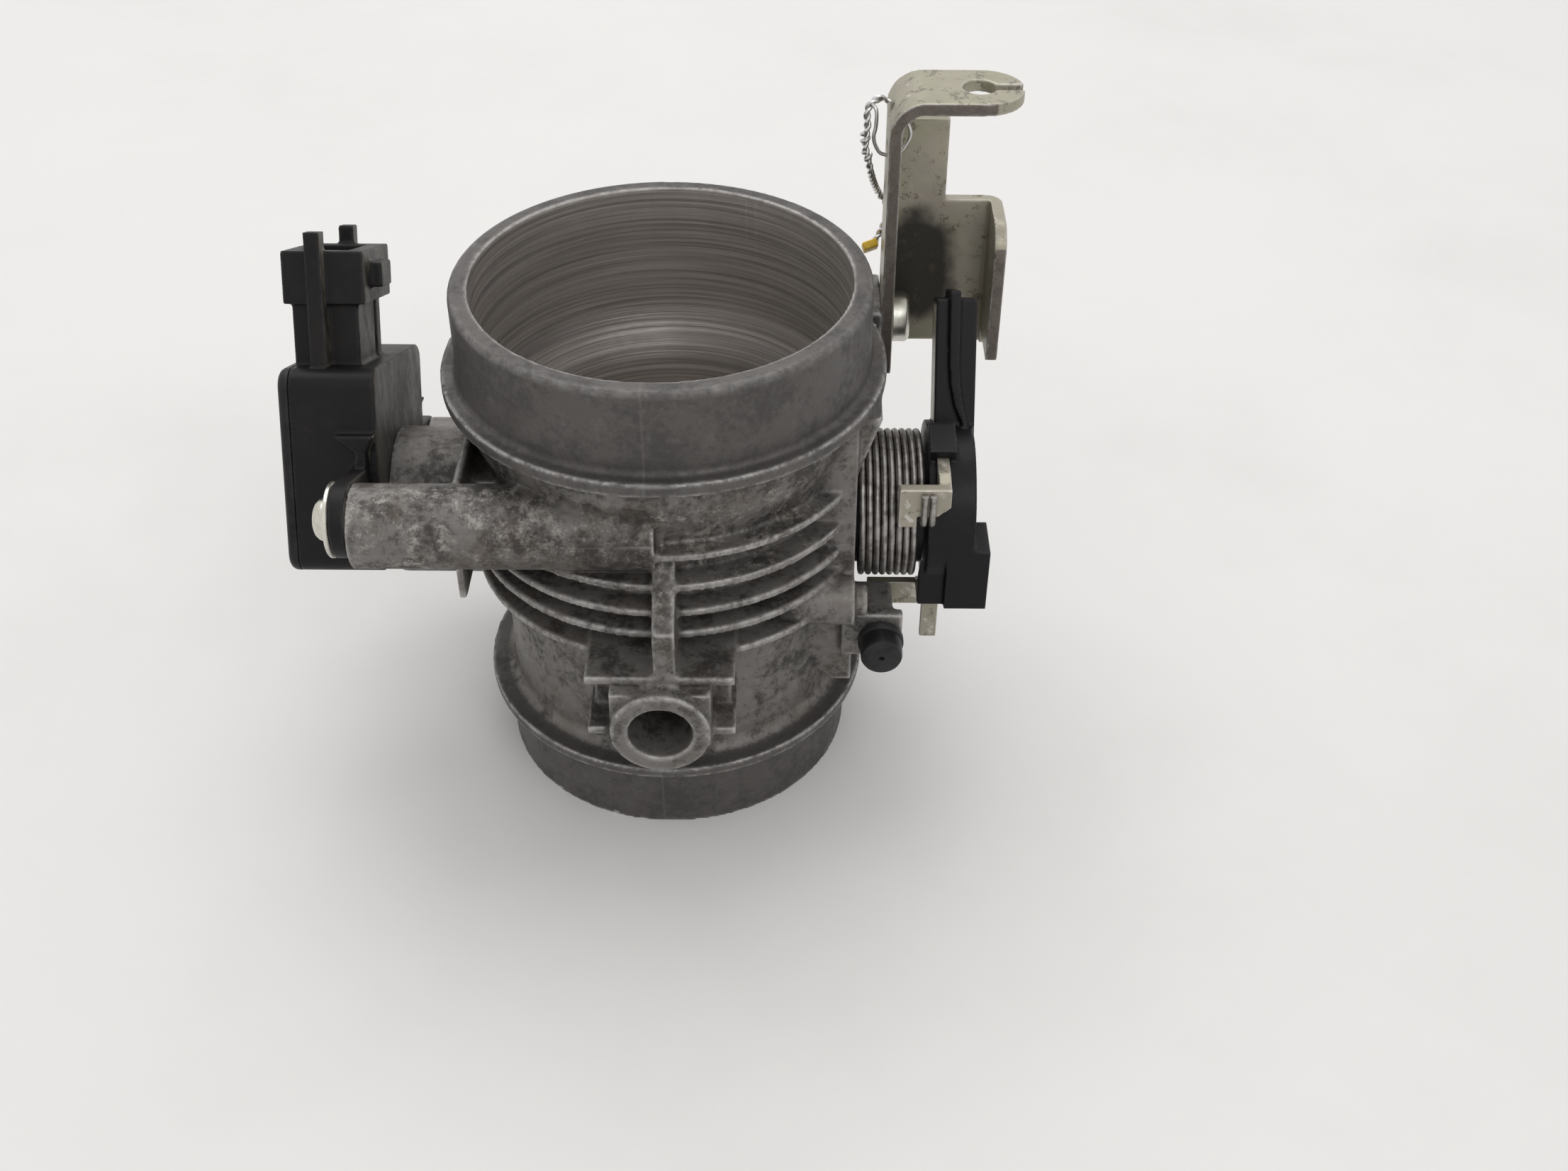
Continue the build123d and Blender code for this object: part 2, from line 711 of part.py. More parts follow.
def sensor_slab(inset, x0, x1):
    return extrude(Plane.YZ.offset(x0) * sensor_outline(inset), amount=x1 - x0)


def upright_rod(radius, x0, x1, y=0.0, z=0.0):
    return rod_x(radius, x0, x1, y, z)


def sensor_ears():
    shapes = []
    for side, edge in ((-1, sensor_front), (1, sensor_back)):
        near, far = sorted((side * (edge - overshoot), side * ear_offset))
        shapes.append(upright_rod(ear_radius, ear_outer_x, ear_seat_x, side * ear_offset, ear_rise))
        shapes.append(block(ear_outer_x, ear_seat_x, near, far, ear_rise - ear_radius, ear_rise + ear_radius))
        top = ear_rise + ear_radius + ear_thickness
        near, far = sorted((side * (edge - overshoot), side * (edge + ear_thickness)))
        shapes.append(slab_xz(
            [(ear_outer_x, ear_rise), (ear_seat_x, ear_rise), (ear_seat_x, top),
             (sensor_face_x, top + ear_thickness), (ear_outer_x - ear_thickness, top + ear_thickness),
             (ear_outer_x + overshoot, top)],
            near, far))
    return shapes


def connector_shape():
    neck_top = sensor_rise + connector_neck_height
    shell_top = neck_top + connector_shell_height
    left = sensor_outer_x + connector_side_inset
    right = sensor_face_x - connector_inner_inset
    middle_x = (left + right) / 2 - connector_flare / 2
    neck = block(left, right, -connector_front, connector_back, sensor_rise - sensor_wall, neck_top)
    shell = block(left - overshoot, right + connector_flare, -connector_front - connector_flare,
                  connector_back + connector_flare, neck_top, shell_top)
    front_key = block(middle_x - key_width / 2, middle_x + key_width / 2, -connector_front - 2 * connector_flare,
                      -connector_front, sensor_rise, shell_top + key_rise)
    back_key = block(middle_x + overshoot - key_width / 2, middle_x + overshoot + key_width / 2, connector_back,
                     connector_back + 2 * connector_flare, neck_top, shell_top + key_rise)
    latch_front = latch_inset - connector_front
    latch = block(right, right + connector_flare + latch_stand, latch_front, latch_front + latch_width,
                  neck_top + latch_rise, neck_top + latch_rise + latch_height)
    socket = block(left + connector_wall, right - connector_wall, -connector_front + connector_wall,
                   connector_back - connector_wall, sensor_rise + 2 * connector_wall, shell_top + key_rise + overshoot)
    groove = block(right - overshoot / 2, right + overshoot / 2, -connector_wall, 0, sensor_rise, neck_top)
    return neck + shell + front_key + back_key + latch - socket - groove


def terminal(y):
    board_x = sensor_outer_x + sensor_cover_thickness + board_margin + board_thickness
    pin_x = board_x + connector_inner_inset
    near, far = y - terminal_width / 2, y + terminal_width / 2
    bend_z = sensor_rise - sensor_wall
    foot = block(board_x, board_x + terminal_thickness, near, far, sensor_rise / 2, bend_z + terminal_thickness)
    bridge = block(board_x, pin_x + terminal_thickness, near, far, bend_z, bend_z + terminal_thickness)
    blade = block(pin_x, pin_x + terminal_thickness, near, far, bend_z,
                  sensor_rise + connector_neck_height + connector_wall)
    return foot + bridge + blade


def terminal_set():
    middle = (connector_back - connector_front) / 2
    first = middle - terminal_pitch * (terminal_count - 1) / 2
    return [terminal(first + number * terminal_pitch) for number in range(terminal_count)]


def sensor_housing():
    body = sensor_slab(0, sensor_outer_x + sensor_cover_thickness, sensor_face_x)
    body += upright_rod(spigot_radius, sensor_face_x - overshoot, sensor_face_x + spigot_length)
    body += sensor_ears()
    body += connector_shape() & block(sensor_outer_x + sensor_cover_thickness - overshoot, 0, -ear_offset, ear_offset,
                                      sensor_rise - sensor_wall, 2 * overall_height)
    body -= sensor_slab(sensor_wall, sensor_outer_x, sensor_face_x - sensor_wall)
    body -= upright_rod(spigot_hole_radius, sensor_outer_x, sensor_face_x + 2 * spigot_length)
    body -= [upright_rod(ear_hole_radius, ear_outer_x - overshoot, ear_seat_x + overshoot, side * ear_offset, ear_rise)
             for side in (-1, 1)]
    body -= terminal_set()
    return lean(body)


def sensor_cover():
    return lean(sensor_slab(0, sensor_outer_x, sensor_outer_x + sensor_cover_thickness))


def sensor_board():
    start = sensor_outer_x + sensor_cover_thickness + board_margin
    return lean(sensor_slab(sensor_wall + board_margin, start, start + board_thickness))


def sensor_terminals():
    return Compound(children=[lean(pin).solid() for pin in terminal_set()])


def sensor_o_ring():
    half = o_ring_section / 2
    return Pos(sensor_face_x + half, 0, shaft_height) * Rot(0, 90, 0) * Torus(spigot_radius + half, half)


def sensor_washers():
    rings = []
    for side in (-1, 1):
        ring = upright_rod(ear_radius, washer_outer_x, ear_outer_x, side * ear_offset, ear_rise)
        ring -= upright_rod(ear_hole_radius, washer_outer_x - overshoot, ear_outer_x + overshoot, side * ear_offset,
                            ear_rise)
        rings.append(lean(ring).solid())
    return Compound(children=rings)


def sensor_screws():
    screws = []
    for side in (-1, 1):
        shank = upright_rod(sensor_screw_radius, washer_outer_x - overshoot, ear_outer_x + sensor_screw_length,
                            side * ear_offset, ear_rise)
        head = upright_rod(sensor_screw_head_radius, washer_outer_x - sensor_screw_head_height, washer_outer_x,
                           side * ear_offset, ear_rise)
        recess = upright_rod(sensor_screw_radius, washer_outer_x - 2 * sensor_screw_head_height,
                             washer_outer_x - sensor_screw_head_height / 2, side * ear_offset, ear_rise)
        screws.append(lean(shank + head - recess).solid())
    return Compound(children=screws)


# ---- Cable bracket ----
def channel():
    """The left plate, back plate and right plate, bent from one strip and seen from above."""
    outer = Pos((bracket_x + bracket_right_x + sheet) / 2, (bracket_front + bracket_back) / 2) * Rectangle(
        bracket_right_x + sheet - bracket_x, bracket_back - bracket_front)
    outer = fillet(outer.vertices().group_by(Axis.Y)[-1], bracket_bend)
    inner = Pos((bracket_inner_x + bracket_right_x) / 2, (bracket_front + bracket_back) / 2 - sheet) * Rectangle(
        bracket_right_x - bracket_inner_x, bracket_back - bracket_front)
    inner = fillet(inner.vertices().group_by(Axis.Y)[-1], bracket_bend - sheet)
    straight_top = bracket_top - bracket_top_bend
    return extrude(Plane.XY.offset(bracket_bottom) * (outer - inner), amount=straight_top - bracket_bottom)


def top_flange():
    straight_top = bracket_top - bracket_top_bend
    tip_radius = (bracket_back - bracket_front) / 2
    centre_y = (bracket_back + bracket_front) / 2
    inner_bend = bracket_top_bend - sheet
    bend_x = bracket_x + bracket_top_bend
    elbow = rod_y(bracket_top_bend, bracket_front, bracket_back, bend_x, straight_top)
    elbow -= rod_y(inner_bend, bracket_front - overshoot, bracket_back + overshoot, bend_x, straight_top)
    elbow &= block(bracket_x, bend_x, bracket_front, bracket_back, straight_top, bracket_top)
    flat = block(bend_x, bracket_end_x - tip_radius, bracket_front, bracket_back, bracket_top - sheet, bracket_top)
    tip = rod_z(tip_radius, bracket_top - sheet, bracket_top, bracket_end_x - tip_radius, centre_y)
    keyhole = rod_z(cable_hole_radius, bracket_top - 2 * sheet, bracket_top + overshoot,
                    bracket_end_x - tip_radius - cable_hole_inset, centre_y)
    keyhole += block(bracket_end_x - tip_radius, bracket_end_x + overshoot, centre_y - cable_slot_width / 2,
                     centre_y + cable_slot_width / 2, bracket_top - 2 * sheet, bracket_top + overshoot)
    return elbow + flat + tip - keyhole


def cable_bracket():
    notch = block(bracket_inner_x + bracket_upper_width, bracket_right_x + 2 * sheet, bracket_front - overshoot,
                  bracket_back + overshoot, bracket_notch_height, bracket_top - sheet)
    relief = block(bracket_inner_x, bracket_right_x, bracket_back - 2 * sheet, bracket_back + overshoot,
                   bracket_top - bracket_top_bend - sheet, bracket_top - sheet)
    walls = channel() - notch - relief
    corner = bracket_bend + sheet
    rounding = block(bracket_right_x - overshoot, bracket_right_x + 2 * sheet, bracket_front - overshoot,
                     bracket_front + corner, bracket_notch_height - corner, bracket_notch_height + overshoot)
    rounding -= rod_x(corner, bracket_right_x - 2 * overshoot, bracket_right_x + 3 * sheet, bracket_front + corner,
                      bracket_notch_height - corner)
    short_end = block(bracket_right_x - overshoot, bracket_right_x + 2 * sheet, bracket_front - overshoot,
                      bracket_back - bracket_bend, bracket_bottom - overshoot, bracket_bottom + bracket_right_rise)
    body = walls - rounding - short_end + top_flange()
    body -= rod_x(bracket_screw_radius + body_clearance, bracket_x - overshoot, bracket_inner_x + overshoot,
                  bracket_screw_y, bracket_screw_z)
    for z in (seal_loop_z - seal_loop_radius, seal_loop_z + seal_loop_radius):
        body -= rod_x(seal_hole_radius, bracket_x - overshoot, bracket_inner_x + sheet, seal_loop_y, z)
    return body


def bracket_screw():
    shank = rod_x(bracket_screw_radius, bracket_inner_x - bracket_screw_length, bracket_inner_x, bracket_screw_y,
                  bracket_screw_z)
    head = rod_x(bracket_screw_head_radius, bracket_inner_x, bracket_inner_x + bracket_screw_head_height,
                 bracket_screw_y, bracket_screw_z)
    recess = rod_x(bracket_screw_radius / 2, bracket_inner_x + bracket_screw_head_height / 2,
                   bracket_inner_x + 2 * bracket_screw_head_height, bracket_screw_y, bracket_screw_z)
    return shank + head - recess


# ---- Seal wire and tag ----
def seal_wire():
    middle_x = (bracket_x + bracket_inner_x) / 2
    loop = Pos(middle_x, seal_loop_y, seal_loop_z) * Rot(90, 0, 0) * Torus(seal_loop_radius, seal_wire_radius)
    start = Vector(middle_x - seal_loop_radius, seal_loop_y, seal_loop_z)
    end = Vector(bracket_x - seal_tail_reach, seal_tail_y, seal_tail_z)
    length = (end - start).length
    tail = Plane(origin=start, z_dir=end - start) * Pos(0, 0, length / 2) * Cylinder(seal_tail_radius, length)
    return loop + tail


def seal_tag():
    x, y, z = bracket_x - seal_tail_reach, seal_tail_y, seal_tail_z
    top = z - body_clearance
    return block(x - tag_width / 2, x + tag_width / 2, y - tag_thickness / 2, y + tag_thickness / 2,
                 top - tag_height, top)


nodes = {
    "throttle_housing": throttle_housing,
    "lever_side_bearing": lambda: bearing(1),
    "sensor_side_bearing": lambda: bearing(-1),
    "lever_side_seal": lambda: shaft_seal(1),
    "sensor_side_seal": lambda: shaft_seal(-1),
    "throttle_shaft": throttle_shaft,
    "throttle_plate": throttle_plate,
    "plate_screws": plate_screws,
    "sensor_rotor": sensor_rotor,
    "spring_sleeve": spring_sleeve,
    "throttle_lever": throttle_lever,
    "throttle_quadrant": throttle_quadrant,
    "lock_washer": lock_washer,
    "shaft_nut": shaft_nut,
    "return_spring": return_spring,
    "backup_spring": backup_spring,
    "idle_screw": idle_screw,
    "idle_screw_cap": idle_screw_cap,
    "sensor_housing": sensor_housing,
    "sensor_cover": sensor_cover,
    "sensor_board": sensor_board,
    "sensor_terminals": sensor_terminals,
    "sensor_o_ring": sensor_o_ring,
    "sensor_washers": sensor_washers,
    "sensor_screws": sensor_screws,
    "cable_bracket": cable_bracket,
    "bracket_screw": bracket_screw,
    "seal_wire": seal_wire,
    "seal_tag": seal_tag,
}

os.makedirs("parts", exist_ok=True)
for name, make in nodes.items():
    export_step(make(), f"parts/{name}.step")
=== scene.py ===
import json
from math import cos, pi, radians, sin

import bmesh
import bpy
from mathutils import Matrix, Vector


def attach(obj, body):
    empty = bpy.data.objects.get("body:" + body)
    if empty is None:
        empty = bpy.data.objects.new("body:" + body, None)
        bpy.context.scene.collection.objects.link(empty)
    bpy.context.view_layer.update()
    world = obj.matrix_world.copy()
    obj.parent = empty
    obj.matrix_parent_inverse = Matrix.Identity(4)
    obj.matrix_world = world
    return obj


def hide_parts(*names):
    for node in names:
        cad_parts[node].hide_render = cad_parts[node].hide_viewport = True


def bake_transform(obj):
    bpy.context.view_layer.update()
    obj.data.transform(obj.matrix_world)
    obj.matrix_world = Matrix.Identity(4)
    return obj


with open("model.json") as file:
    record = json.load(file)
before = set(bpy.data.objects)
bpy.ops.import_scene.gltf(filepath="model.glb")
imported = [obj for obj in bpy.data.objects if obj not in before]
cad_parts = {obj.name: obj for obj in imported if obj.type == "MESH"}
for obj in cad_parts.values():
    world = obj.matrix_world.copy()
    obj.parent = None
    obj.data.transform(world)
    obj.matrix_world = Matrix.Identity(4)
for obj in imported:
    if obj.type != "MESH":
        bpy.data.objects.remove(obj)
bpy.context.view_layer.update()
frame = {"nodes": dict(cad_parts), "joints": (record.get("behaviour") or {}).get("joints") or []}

MM = 0.001
AXIS_X = Vector((1, 0, 0))
JOINT = next(joint for joint in frame["joints"] if joint["name"] == "throttle_turn")
SHAFT_HEIGHT = JOINT["pos_m"][2]


# ---- Small helpers ----
def keep(mesh, name):
    piece = bpy.data.objects.new(name, mesh)
    bpy.context.scene.collection.objects.link(piece)
    return piece


def from_bmesh(bm, name):
    mesh = bpy.data.meshes.new(name)
    bm.to_mesh(mesh)
    bm.free()
    return keep(mesh, name)


def settle(piece):
    """Apply every modifier, so the finished mesh is what the piece holds."""
    depsgraph = bpy.context.evaluated_depsgraph_get()
    depsgraph.update()
    mesh = bpy.data.meshes.new_from_object(piece.evaluated_get(depsgraph))
    piece.modifiers.clear()
    piece.data = mesh
    return piece


def welded_copy(node, name, flat_angle=None):
    bm = bmesh.new()
    bm.from_mesh(frame["nodes"][node].data)
    bmesh.ops.remove_doubles(bm, verts=bm.verts, dist=0.002 * MM)
    if flat_angle:
        bmesh.ops.dissolve_limit(bm, angle_limit=radians(flat_angle), verts=bm.verts, edges=bm.edges)
    bmesh.ops.recalc_face_normals(bm, faces=bm.faces)
    piece = from_bmesh(bm, name)
    piece.data.materials.clear()
    return piece


def smooth(piece, angle):
    piece.data.shade_smooth()
    piece.data.set_sharp_from_angle(angle=radians(angle))
    return piece


def bevelled(piece, width, segments, angle, rule):
    """Round the edges that are sharper than the angle and picked by the rule."""
    bm = bmesh.new()
    bm.from_mesh(piece.data)
    edges = [edge for edge in bm.edges if edge.is_manifold and edge.calc_face_angle() > radians(angle)
             and rule((edge.verts[0].co + edge.verts[1].co) / 2 / MM)]
    bmesh.ops.bevel(bm, geom=edges, offset=width, offset_type="OFFSET", segments=segments, profile=0.5,
                    affect="EDGES", clamp_overlap=True, material=-1)
    bm.to_mesh(piece.data)
    bm.free()
    smooth(piece, 50)
    weigh = piece.modifiers.new("face weighted shading", "WEIGHTED_NORMAL")
    weigh.keep_sharp = True
    return settle(piece)


def softened(piece, voxel, iterations, ratio):
    """Give a cast or moulded skin with small radii at every edge."""
    remesh = piece.modifiers.new("skin", "REMESH")
    remesh.mode = "VOXEL"
    remesh.voxel_size = voxel * MM
    soften = piece.modifiers.new("radii", "SMOOTH")
    soften.factor = 0.5
    soften.iterations = iterations
    thin = piece.modifiers.new("thin out", "DECIMATE")
    thin.ratio = ratio
    settle(piece)
    piece.data.shade_smooth()
    return piece


def finish_piece(piece, body, slot, material, *replaced):
    piece.data.materials.clear()
    piece.data.materials.append(material)
    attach(piece, body)
    if replaced:
        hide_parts(*replaced)
    return piece


def lathe(profile, start, axis, steps):
    """Turn a profile of (distance along the axis, radius) points round an axis through start."""
    bm = bmesh.new()
    axis = Vector(axis).normalized()
    side = axis.orthogonal().normalized()
    verts = [bm.verts.new(Vector(start) + axis * along + side * radius) for along, radius in profile]
    edges = [bm.edges.new(pair) for pair in zip(verts, verts[1:])]
    bmesh.ops.spin(bm, geom=verts + edges, cent=start, axis=axis, angle=2 * pi, steps=steps, use_merge=True)
    bmesh.ops.remove_doubles(bm, verts=bm.verts, dist=0.001 * MM)
    bmesh.ops.recalc_face_normals(bm, faces=bm.faces)
    return bm


def wire(name, paths, radius, sides):
    """Sweep a round wire along each path of millimetre points."""
    curve = bpy.data.curves.new(name, "CURVE")
    curve.dimensions = "3D"
    curve.bevel_depth = radius * MM
    curve.bevel_resolution = sides
    curve.use_fill_caps = True
    for path in paths:
        spline = curve.splines.new("POLY")
        spline.points.add(len(path) - 1)
        for point, place in zip(spline.points, path):
            point.co = (*(Vector(place) * MM), 1)
    piece = keep(curve, name)
    mesh = bpy.data.meshes.new_from_object(piece.evaluated_get(bpy.context.evaluated_depsgraph_get()))
    bpy.data.objects.remove(piece)
    mesh.shade_smooth()
    return keep(mesh, name)


def eased(points, steps=8):
    """A smooth path through the points."""
    spots = [Vector(point) for point in points]
    spots = [spots[0] * 2 - spots[1], *spots, spots[-1] * 2 - spots[-2]]
    path = []
    for before, here, there, after in zip(spots, spots[1:], spots[2:], spots[3:]):
        for step in range(steps):
            t = step / steps
            path.append((here * 2 + (there - before) * t + (before * 2 - here * 5 + there * 4 - after) * t ** 2
                         + (here * 3 - before - there * 3 + after) * t ** 3) / 2)
    return path + [spots[-2]]


# ---- Node trees ----
def put(tree, kind, inputs=None, **settings):
    node = tree.nodes.new(kind)
    for key, value in settings.items():
        setattr(node, key, value)
    for key, value in (inputs or {}).items():
        if isinstance(value, bpy.types.NodeSocket):
            tree.links.new(value, node.inputs[key])
        else:
            node.inputs[key].default_value = value
    return node


def colour(red, green, blue):
    return (red, green, blue, 1)


def ramp(tree, value, low, high):
    return put(tree, "ShaderNodeMapRange", {0: value, 1: low, 2: high}, clamp=True,
               interpolation_type="SMOOTHSTEP").outputs[0]


def calc(tree, operation, first, second=0.0):
    return put(tree, "ShaderNodeMath", {0: first, 1: second}, operation=operation).outputs[0]


def mix(tree, factor, first, second):
    node = put(tree, "ShaderNodeMix", data_type="RGBA", blend_type="MIX")
    for index, value in ((0, factor), (6, first), (7, second)):
        if isinstance(value, bpy.types.NodeSocket):
            tree.links.new(value, node.inputs[index])
        else:
            node.inputs[index].default_value = value
    return node.outputs[2]


def new_group(name, inputs, outputs):
    tree = bpy.data.node_groups.new(name, "ShaderNodeTree")
    for label, kind, value in inputs:
        socket = tree.interface.new_socket(label, in_out="INPUT", socket_type=kind)
        socket.default_value = value
    for label, kind in outputs:
        tree.interface.new_socket(label, in_out="OUTPUT", socket_type=kind)
    return tree, tree.nodes.new("NodeGroupInput"), tree.nodes.new("NodeGroupOutput")


FLOAT = "NodeSocketFloat"


def object_point(tree):
    return put(tree, "ShaderNodeTexCoord").outputs["Object"]


def make_blotches():
    """Cloudy stains in two sizes, broken up by specks."""
    tree, given, out = new_group(
        "blotches", [("Scale", FLOAT, 60.0), ("Cover", FLOAT, 0.5), ("Softness", FLOAT, 0.12)], [("Mask", FLOAT)])
    point = object_point(tree)
    large = put(tree, "ShaderNodeTexNoise", {"Vector": point, "Scale": given.outputs["Scale"], "Detail": 8.0,
                                             "Roughness": 0.72, "Distortion": 0.15})
    small_scale = calc(tree, "MULTIPLY", given.outputs["Scale"], 7.0)
    small = put(tree, "ShaderNodeTexNoise", {"Vector": point, "Scale": small_scale, "Detail": 6.0, "Roughness": 0.7})
    both = calc(tree, "ADD", calc(tree, "MULTIPLY", large.outputs[0], 0.68),
                calc(tree, "MULTIPLY", small.outputs[0], 0.32))
    low = calc(tree, "SUBTRACT", given.outputs["Cover"], given.outputs["Softness"])
    high = calc(tree, "ADD", given.outputs["Cover"], given.outputs["Softness"])
    tree.links.new(ramp(tree, both, low, high), out.inputs["Mask"])
    return tree


def make_edge_wear():
    """Bright, rubbed convex edges, and dirt with painted shade darkening the inside corners."""
    tree, given, out = new_group(
        "edge wear", [("Strength", FLOAT, 1.0), ("Break Up", FLOAT, 300.0)], [("Edge", FLOAT), ("Crevice Dirt And Shade", FLOAT)])
    pointiness = put(tree, "ShaderNodeNewGeometry").outputs["Pointiness"]
    noise = put(tree, "ShaderNodeTexNoise", {"Vector": object_point(tree), "Scale": given.outputs["Break Up"],
                                             "Detail": 5.0, "Roughness": 0.65})
    rubbed = ramp(tree, pointiness, 0.505, 0.56)
    broken = ramp(tree, noise.outputs[0], 0.3, 0.62)
    edge = calc(tree, "MULTIPLY", calc(tree, "MULTIPLY", rubbed, broken), given.outputs["Strength"])
    # dirt and painted shade: the inside corners darkened by their concavity
    crevice_dirt_and_shade = calc(tree, "MULTIPLY", ramp(tree, pointiness, 0.495, 0.44), given.outputs["Strength"])
    tree.links.new(edge, out.inputs["Edge"])
    tree.links.new(crevice_dirt_and_shade, out.inputs["Crevice Dirt And Shade"])
    return tree


def make_grain():
    """Fine surface grain as a height, stretched along one direction when asked."""
    tree, given, out = new_group(
        "grain", [("Scale", FLOAT, 900.0), ("Stretch X", FLOAT, 1.0), ("Stretch Y", FLOAT, 1.0),
                  ("Stretch Z", FLOAT, 1.0)], [("Height", FLOAT)])
    stretch = put(tree, "ShaderNodeCombineXYZ", {0: given.outputs["Stretch X"], 1: given.outputs["Stretch Y"],
                                                 2: given.outputs["Stretch Z"]}).outputs[0]
    point = put(tree, "ShaderNodeVectorMath", {0: object_point(tree), 1: stretch}, operation="MULTIPLY").outputs[0]
    noise = put(tree, "ShaderNodeTexNoise", {"Vector": point, "Scale": given.outputs["Scale"], "Detail": 4.0,
                                             "Roughness": 0.6})
    tree.links.new(noise.outputs[0], out.inputs["Height"])
    return tree


def use(tree, group, inputs):
    return put(tree, "ShaderNodeGroup", inputs, node_tree=group)


BLOTCHES = make_blotches()
EDGE_WEAR = make_edge_wear()
GRAIN = make_grain()


def even_grain(tree, scale):
    """Grain of the same size in every direction."""
    return use(tree, GRAIN, {"Scale": scale}).outputs[0]


def new_material(name, **shader_values):
    material = bpy.data.materials.new(name)
    material.use_nodes = True
    tree = material.node_tree
    shader = tree.nodes["Principled BSDF"]
    for key, value in shader_values.items():
        shader.inputs[key.replace("_", " ")].default_value = value
    return material, tree, shader


def bump(tree, shader, height, strength, distance):
    node = put(tree, "ShaderNodeBump", {"Height": height, "Strength": strength, "Distance": distance})
    tree.links.new(node.outputs[0], shader.inputs["Normal"])


# ---- Materials ----
def cast_aluminium():
    material, tree, shader = new_material("stained cast aluminium", Metallic=0.4)
    turned = put(tree, "ShaderNodeAttribute", attribute_name="turned").outputs["Fac"]
    skimmed = put(tree, "ShaderNodeAttribute", attribute_name="skimmed").outputs["Fac"]
    scuffed = put(tree, "ShaderNodeAttribute", attribute_name="scuffed").outputs["Fac"]
    wear = use(tree, EDGE_WEAR, {"Strength": 1.0, "Break Up": 420.0})
    stain = use(tree, BLOTCHES, {"Scale": 105.0, "Cover": 0.52, "Softness": 0.07}).outputs[0]
    tint = use(tree, BLOTCHES, {"Scale": 62.0, "Cover": 0.56, "Softness": 0.08}).outputs[0]
    bright = use(tree, BLOTCHES, {"Scale": 340.0, "Cover": 0.56, "Softness": 0.06}).outputs[0]
    pits = use(tree, BLOTCHES, {"Scale": 420.0, "Cover": 0.595, "Softness": 0.03}).outputs[0]
    base = mix(tree, stain, colour(0.155, 0.147, 0.139), colour(0.045, 0.041, 0.038))
    base = mix(tree, calc(tree, "MULTIPLY", tint, 0.4), base, colour(0.105, 0.078, 0.056))
    base = mix(tree, calc(tree, "MULTIPLY", bright, 0.3), base, colour(0.27, 0.26, 0.25))
    base = mix(tree, calc(tree, "MULTIPLY", pits, 0.6), base, colour(0.035, 0.032, 0.03))
    base = mix(tree, calc(tree, "MULTIPLY", scuffed, calc(tree, "MULTIPLY", bright, 0.55)), base,
               colour(0.42, 0.395, 0.36))
    base = mix(tree, calc(tree, "MULTIPLY", scuffed, calc(tree, "MULTIPLY", tint, 0.6)), base,
               colour(0.055, 0.038, 0.026))
    # dirt and painted shade darkening the inside corners of the casting
    base = mix(tree, calc(tree, "MULTIPLY", wear.outputs["Crevice Dirt And Shade"], 0.8), base, colour(0.03, 0.027, 0.024))
    # the tube's left half darkens in blotches towards its end at x = 0
    darkened_tube_end = put(tree, "ShaderNodeAttribute", attribute_name="darkened_tube_end").outputs["Fac"]
    tube_end_darkening = calc(tree, "MULTIPLY", darkened_tube_end, calc(tree, "ADD", calc(tree, "MULTIPLY", stain, 0.5), 0.42))
    base = mix(tree, tube_end_darkening, base, colour(0.026, 0.021, 0.018))
    soft_stain = calc(tree, "MULTIPLY", stain, 0.6)
    skim = mix(tree, soft_stain, colour(0.083, 0.077, 0.074), colour(0.042, 0.039, 0.037))
    skim = mix(tree, calc(tree, "MULTIPLY", bright, 0.12), skim, colour(0.22, 0.215, 0.21))
    across = put(tree, "ShaderNodeSeparateXYZ", {0: object_point(tree)}).outputs[0]
    seam = ramp(tree, calc(tree, "ABSOLUTE", calc(tree, "ADD", across, 1.2 * MM)), 0.32 * MM, 0.1 * MM)
    skim = mix(tree, calc(tree, "MULTIPLY", seam, 0.16), skim, colour(0.2, 0.195, 0.19))
    base = mix(tree, skimmed, base, skim)
    streaks = use(tree, GRAIN, {"Scale": 34.0, "Stretch X": 0.6, "Stretch Y": 0.6, "Stretch Z": 60.0}).outputs[0]
    sheen = mix(tree, ramp(tree, streaks, 0.30, 0.72), colour(0.17, 0.155, 0.145), colour(0.33, 0.305, 0.285))
    base = mix(tree, turned, base, sheen)
    base = mix(tree, calc(tree, "MULTIPLY", wear.outputs["Edge"], 0.8), base, colour(0.47, 0.46, 0.45))
    tree.links.new(base, shader.inputs["Base Color"])
    rough = calc(tree, "ADD", calc(tree, "MULTIPLY", stain, 0.14), 0.46)
    tree.links.new(calc(tree, "SUBTRACT", rough, calc(tree, "MULTIPLY", turned, 0.1)), shader.inputs["Roughness"])
    sand = even_grain(tree, 520.0)
    lathe_lines = use(tree, GRAIN, {"Scale": 40.0, "Stretch X": 0.6, "Stretch Y": 0.6, "Stretch Z": 80.0}).outputs[0]
    height = put(tree, "ShaderNodeMix", {0: turned, 2: sand, 3: lathe_lines}, data_type="FLOAT").outputs[0]
    bump(tree, shader, height, 0.5, 0.22 * MM)
    return material


def facing(tree, axis):
    """How squarely the surface faces one way along an axis of the object."""
    normal = put(tree, "ShaderNodeTexCoord").outputs["Normal"]
    return ramp(tree, put(tree, "ShaderNodeSeparateXYZ", {0: normal}).outputs[axis], 0.55, 0.85)


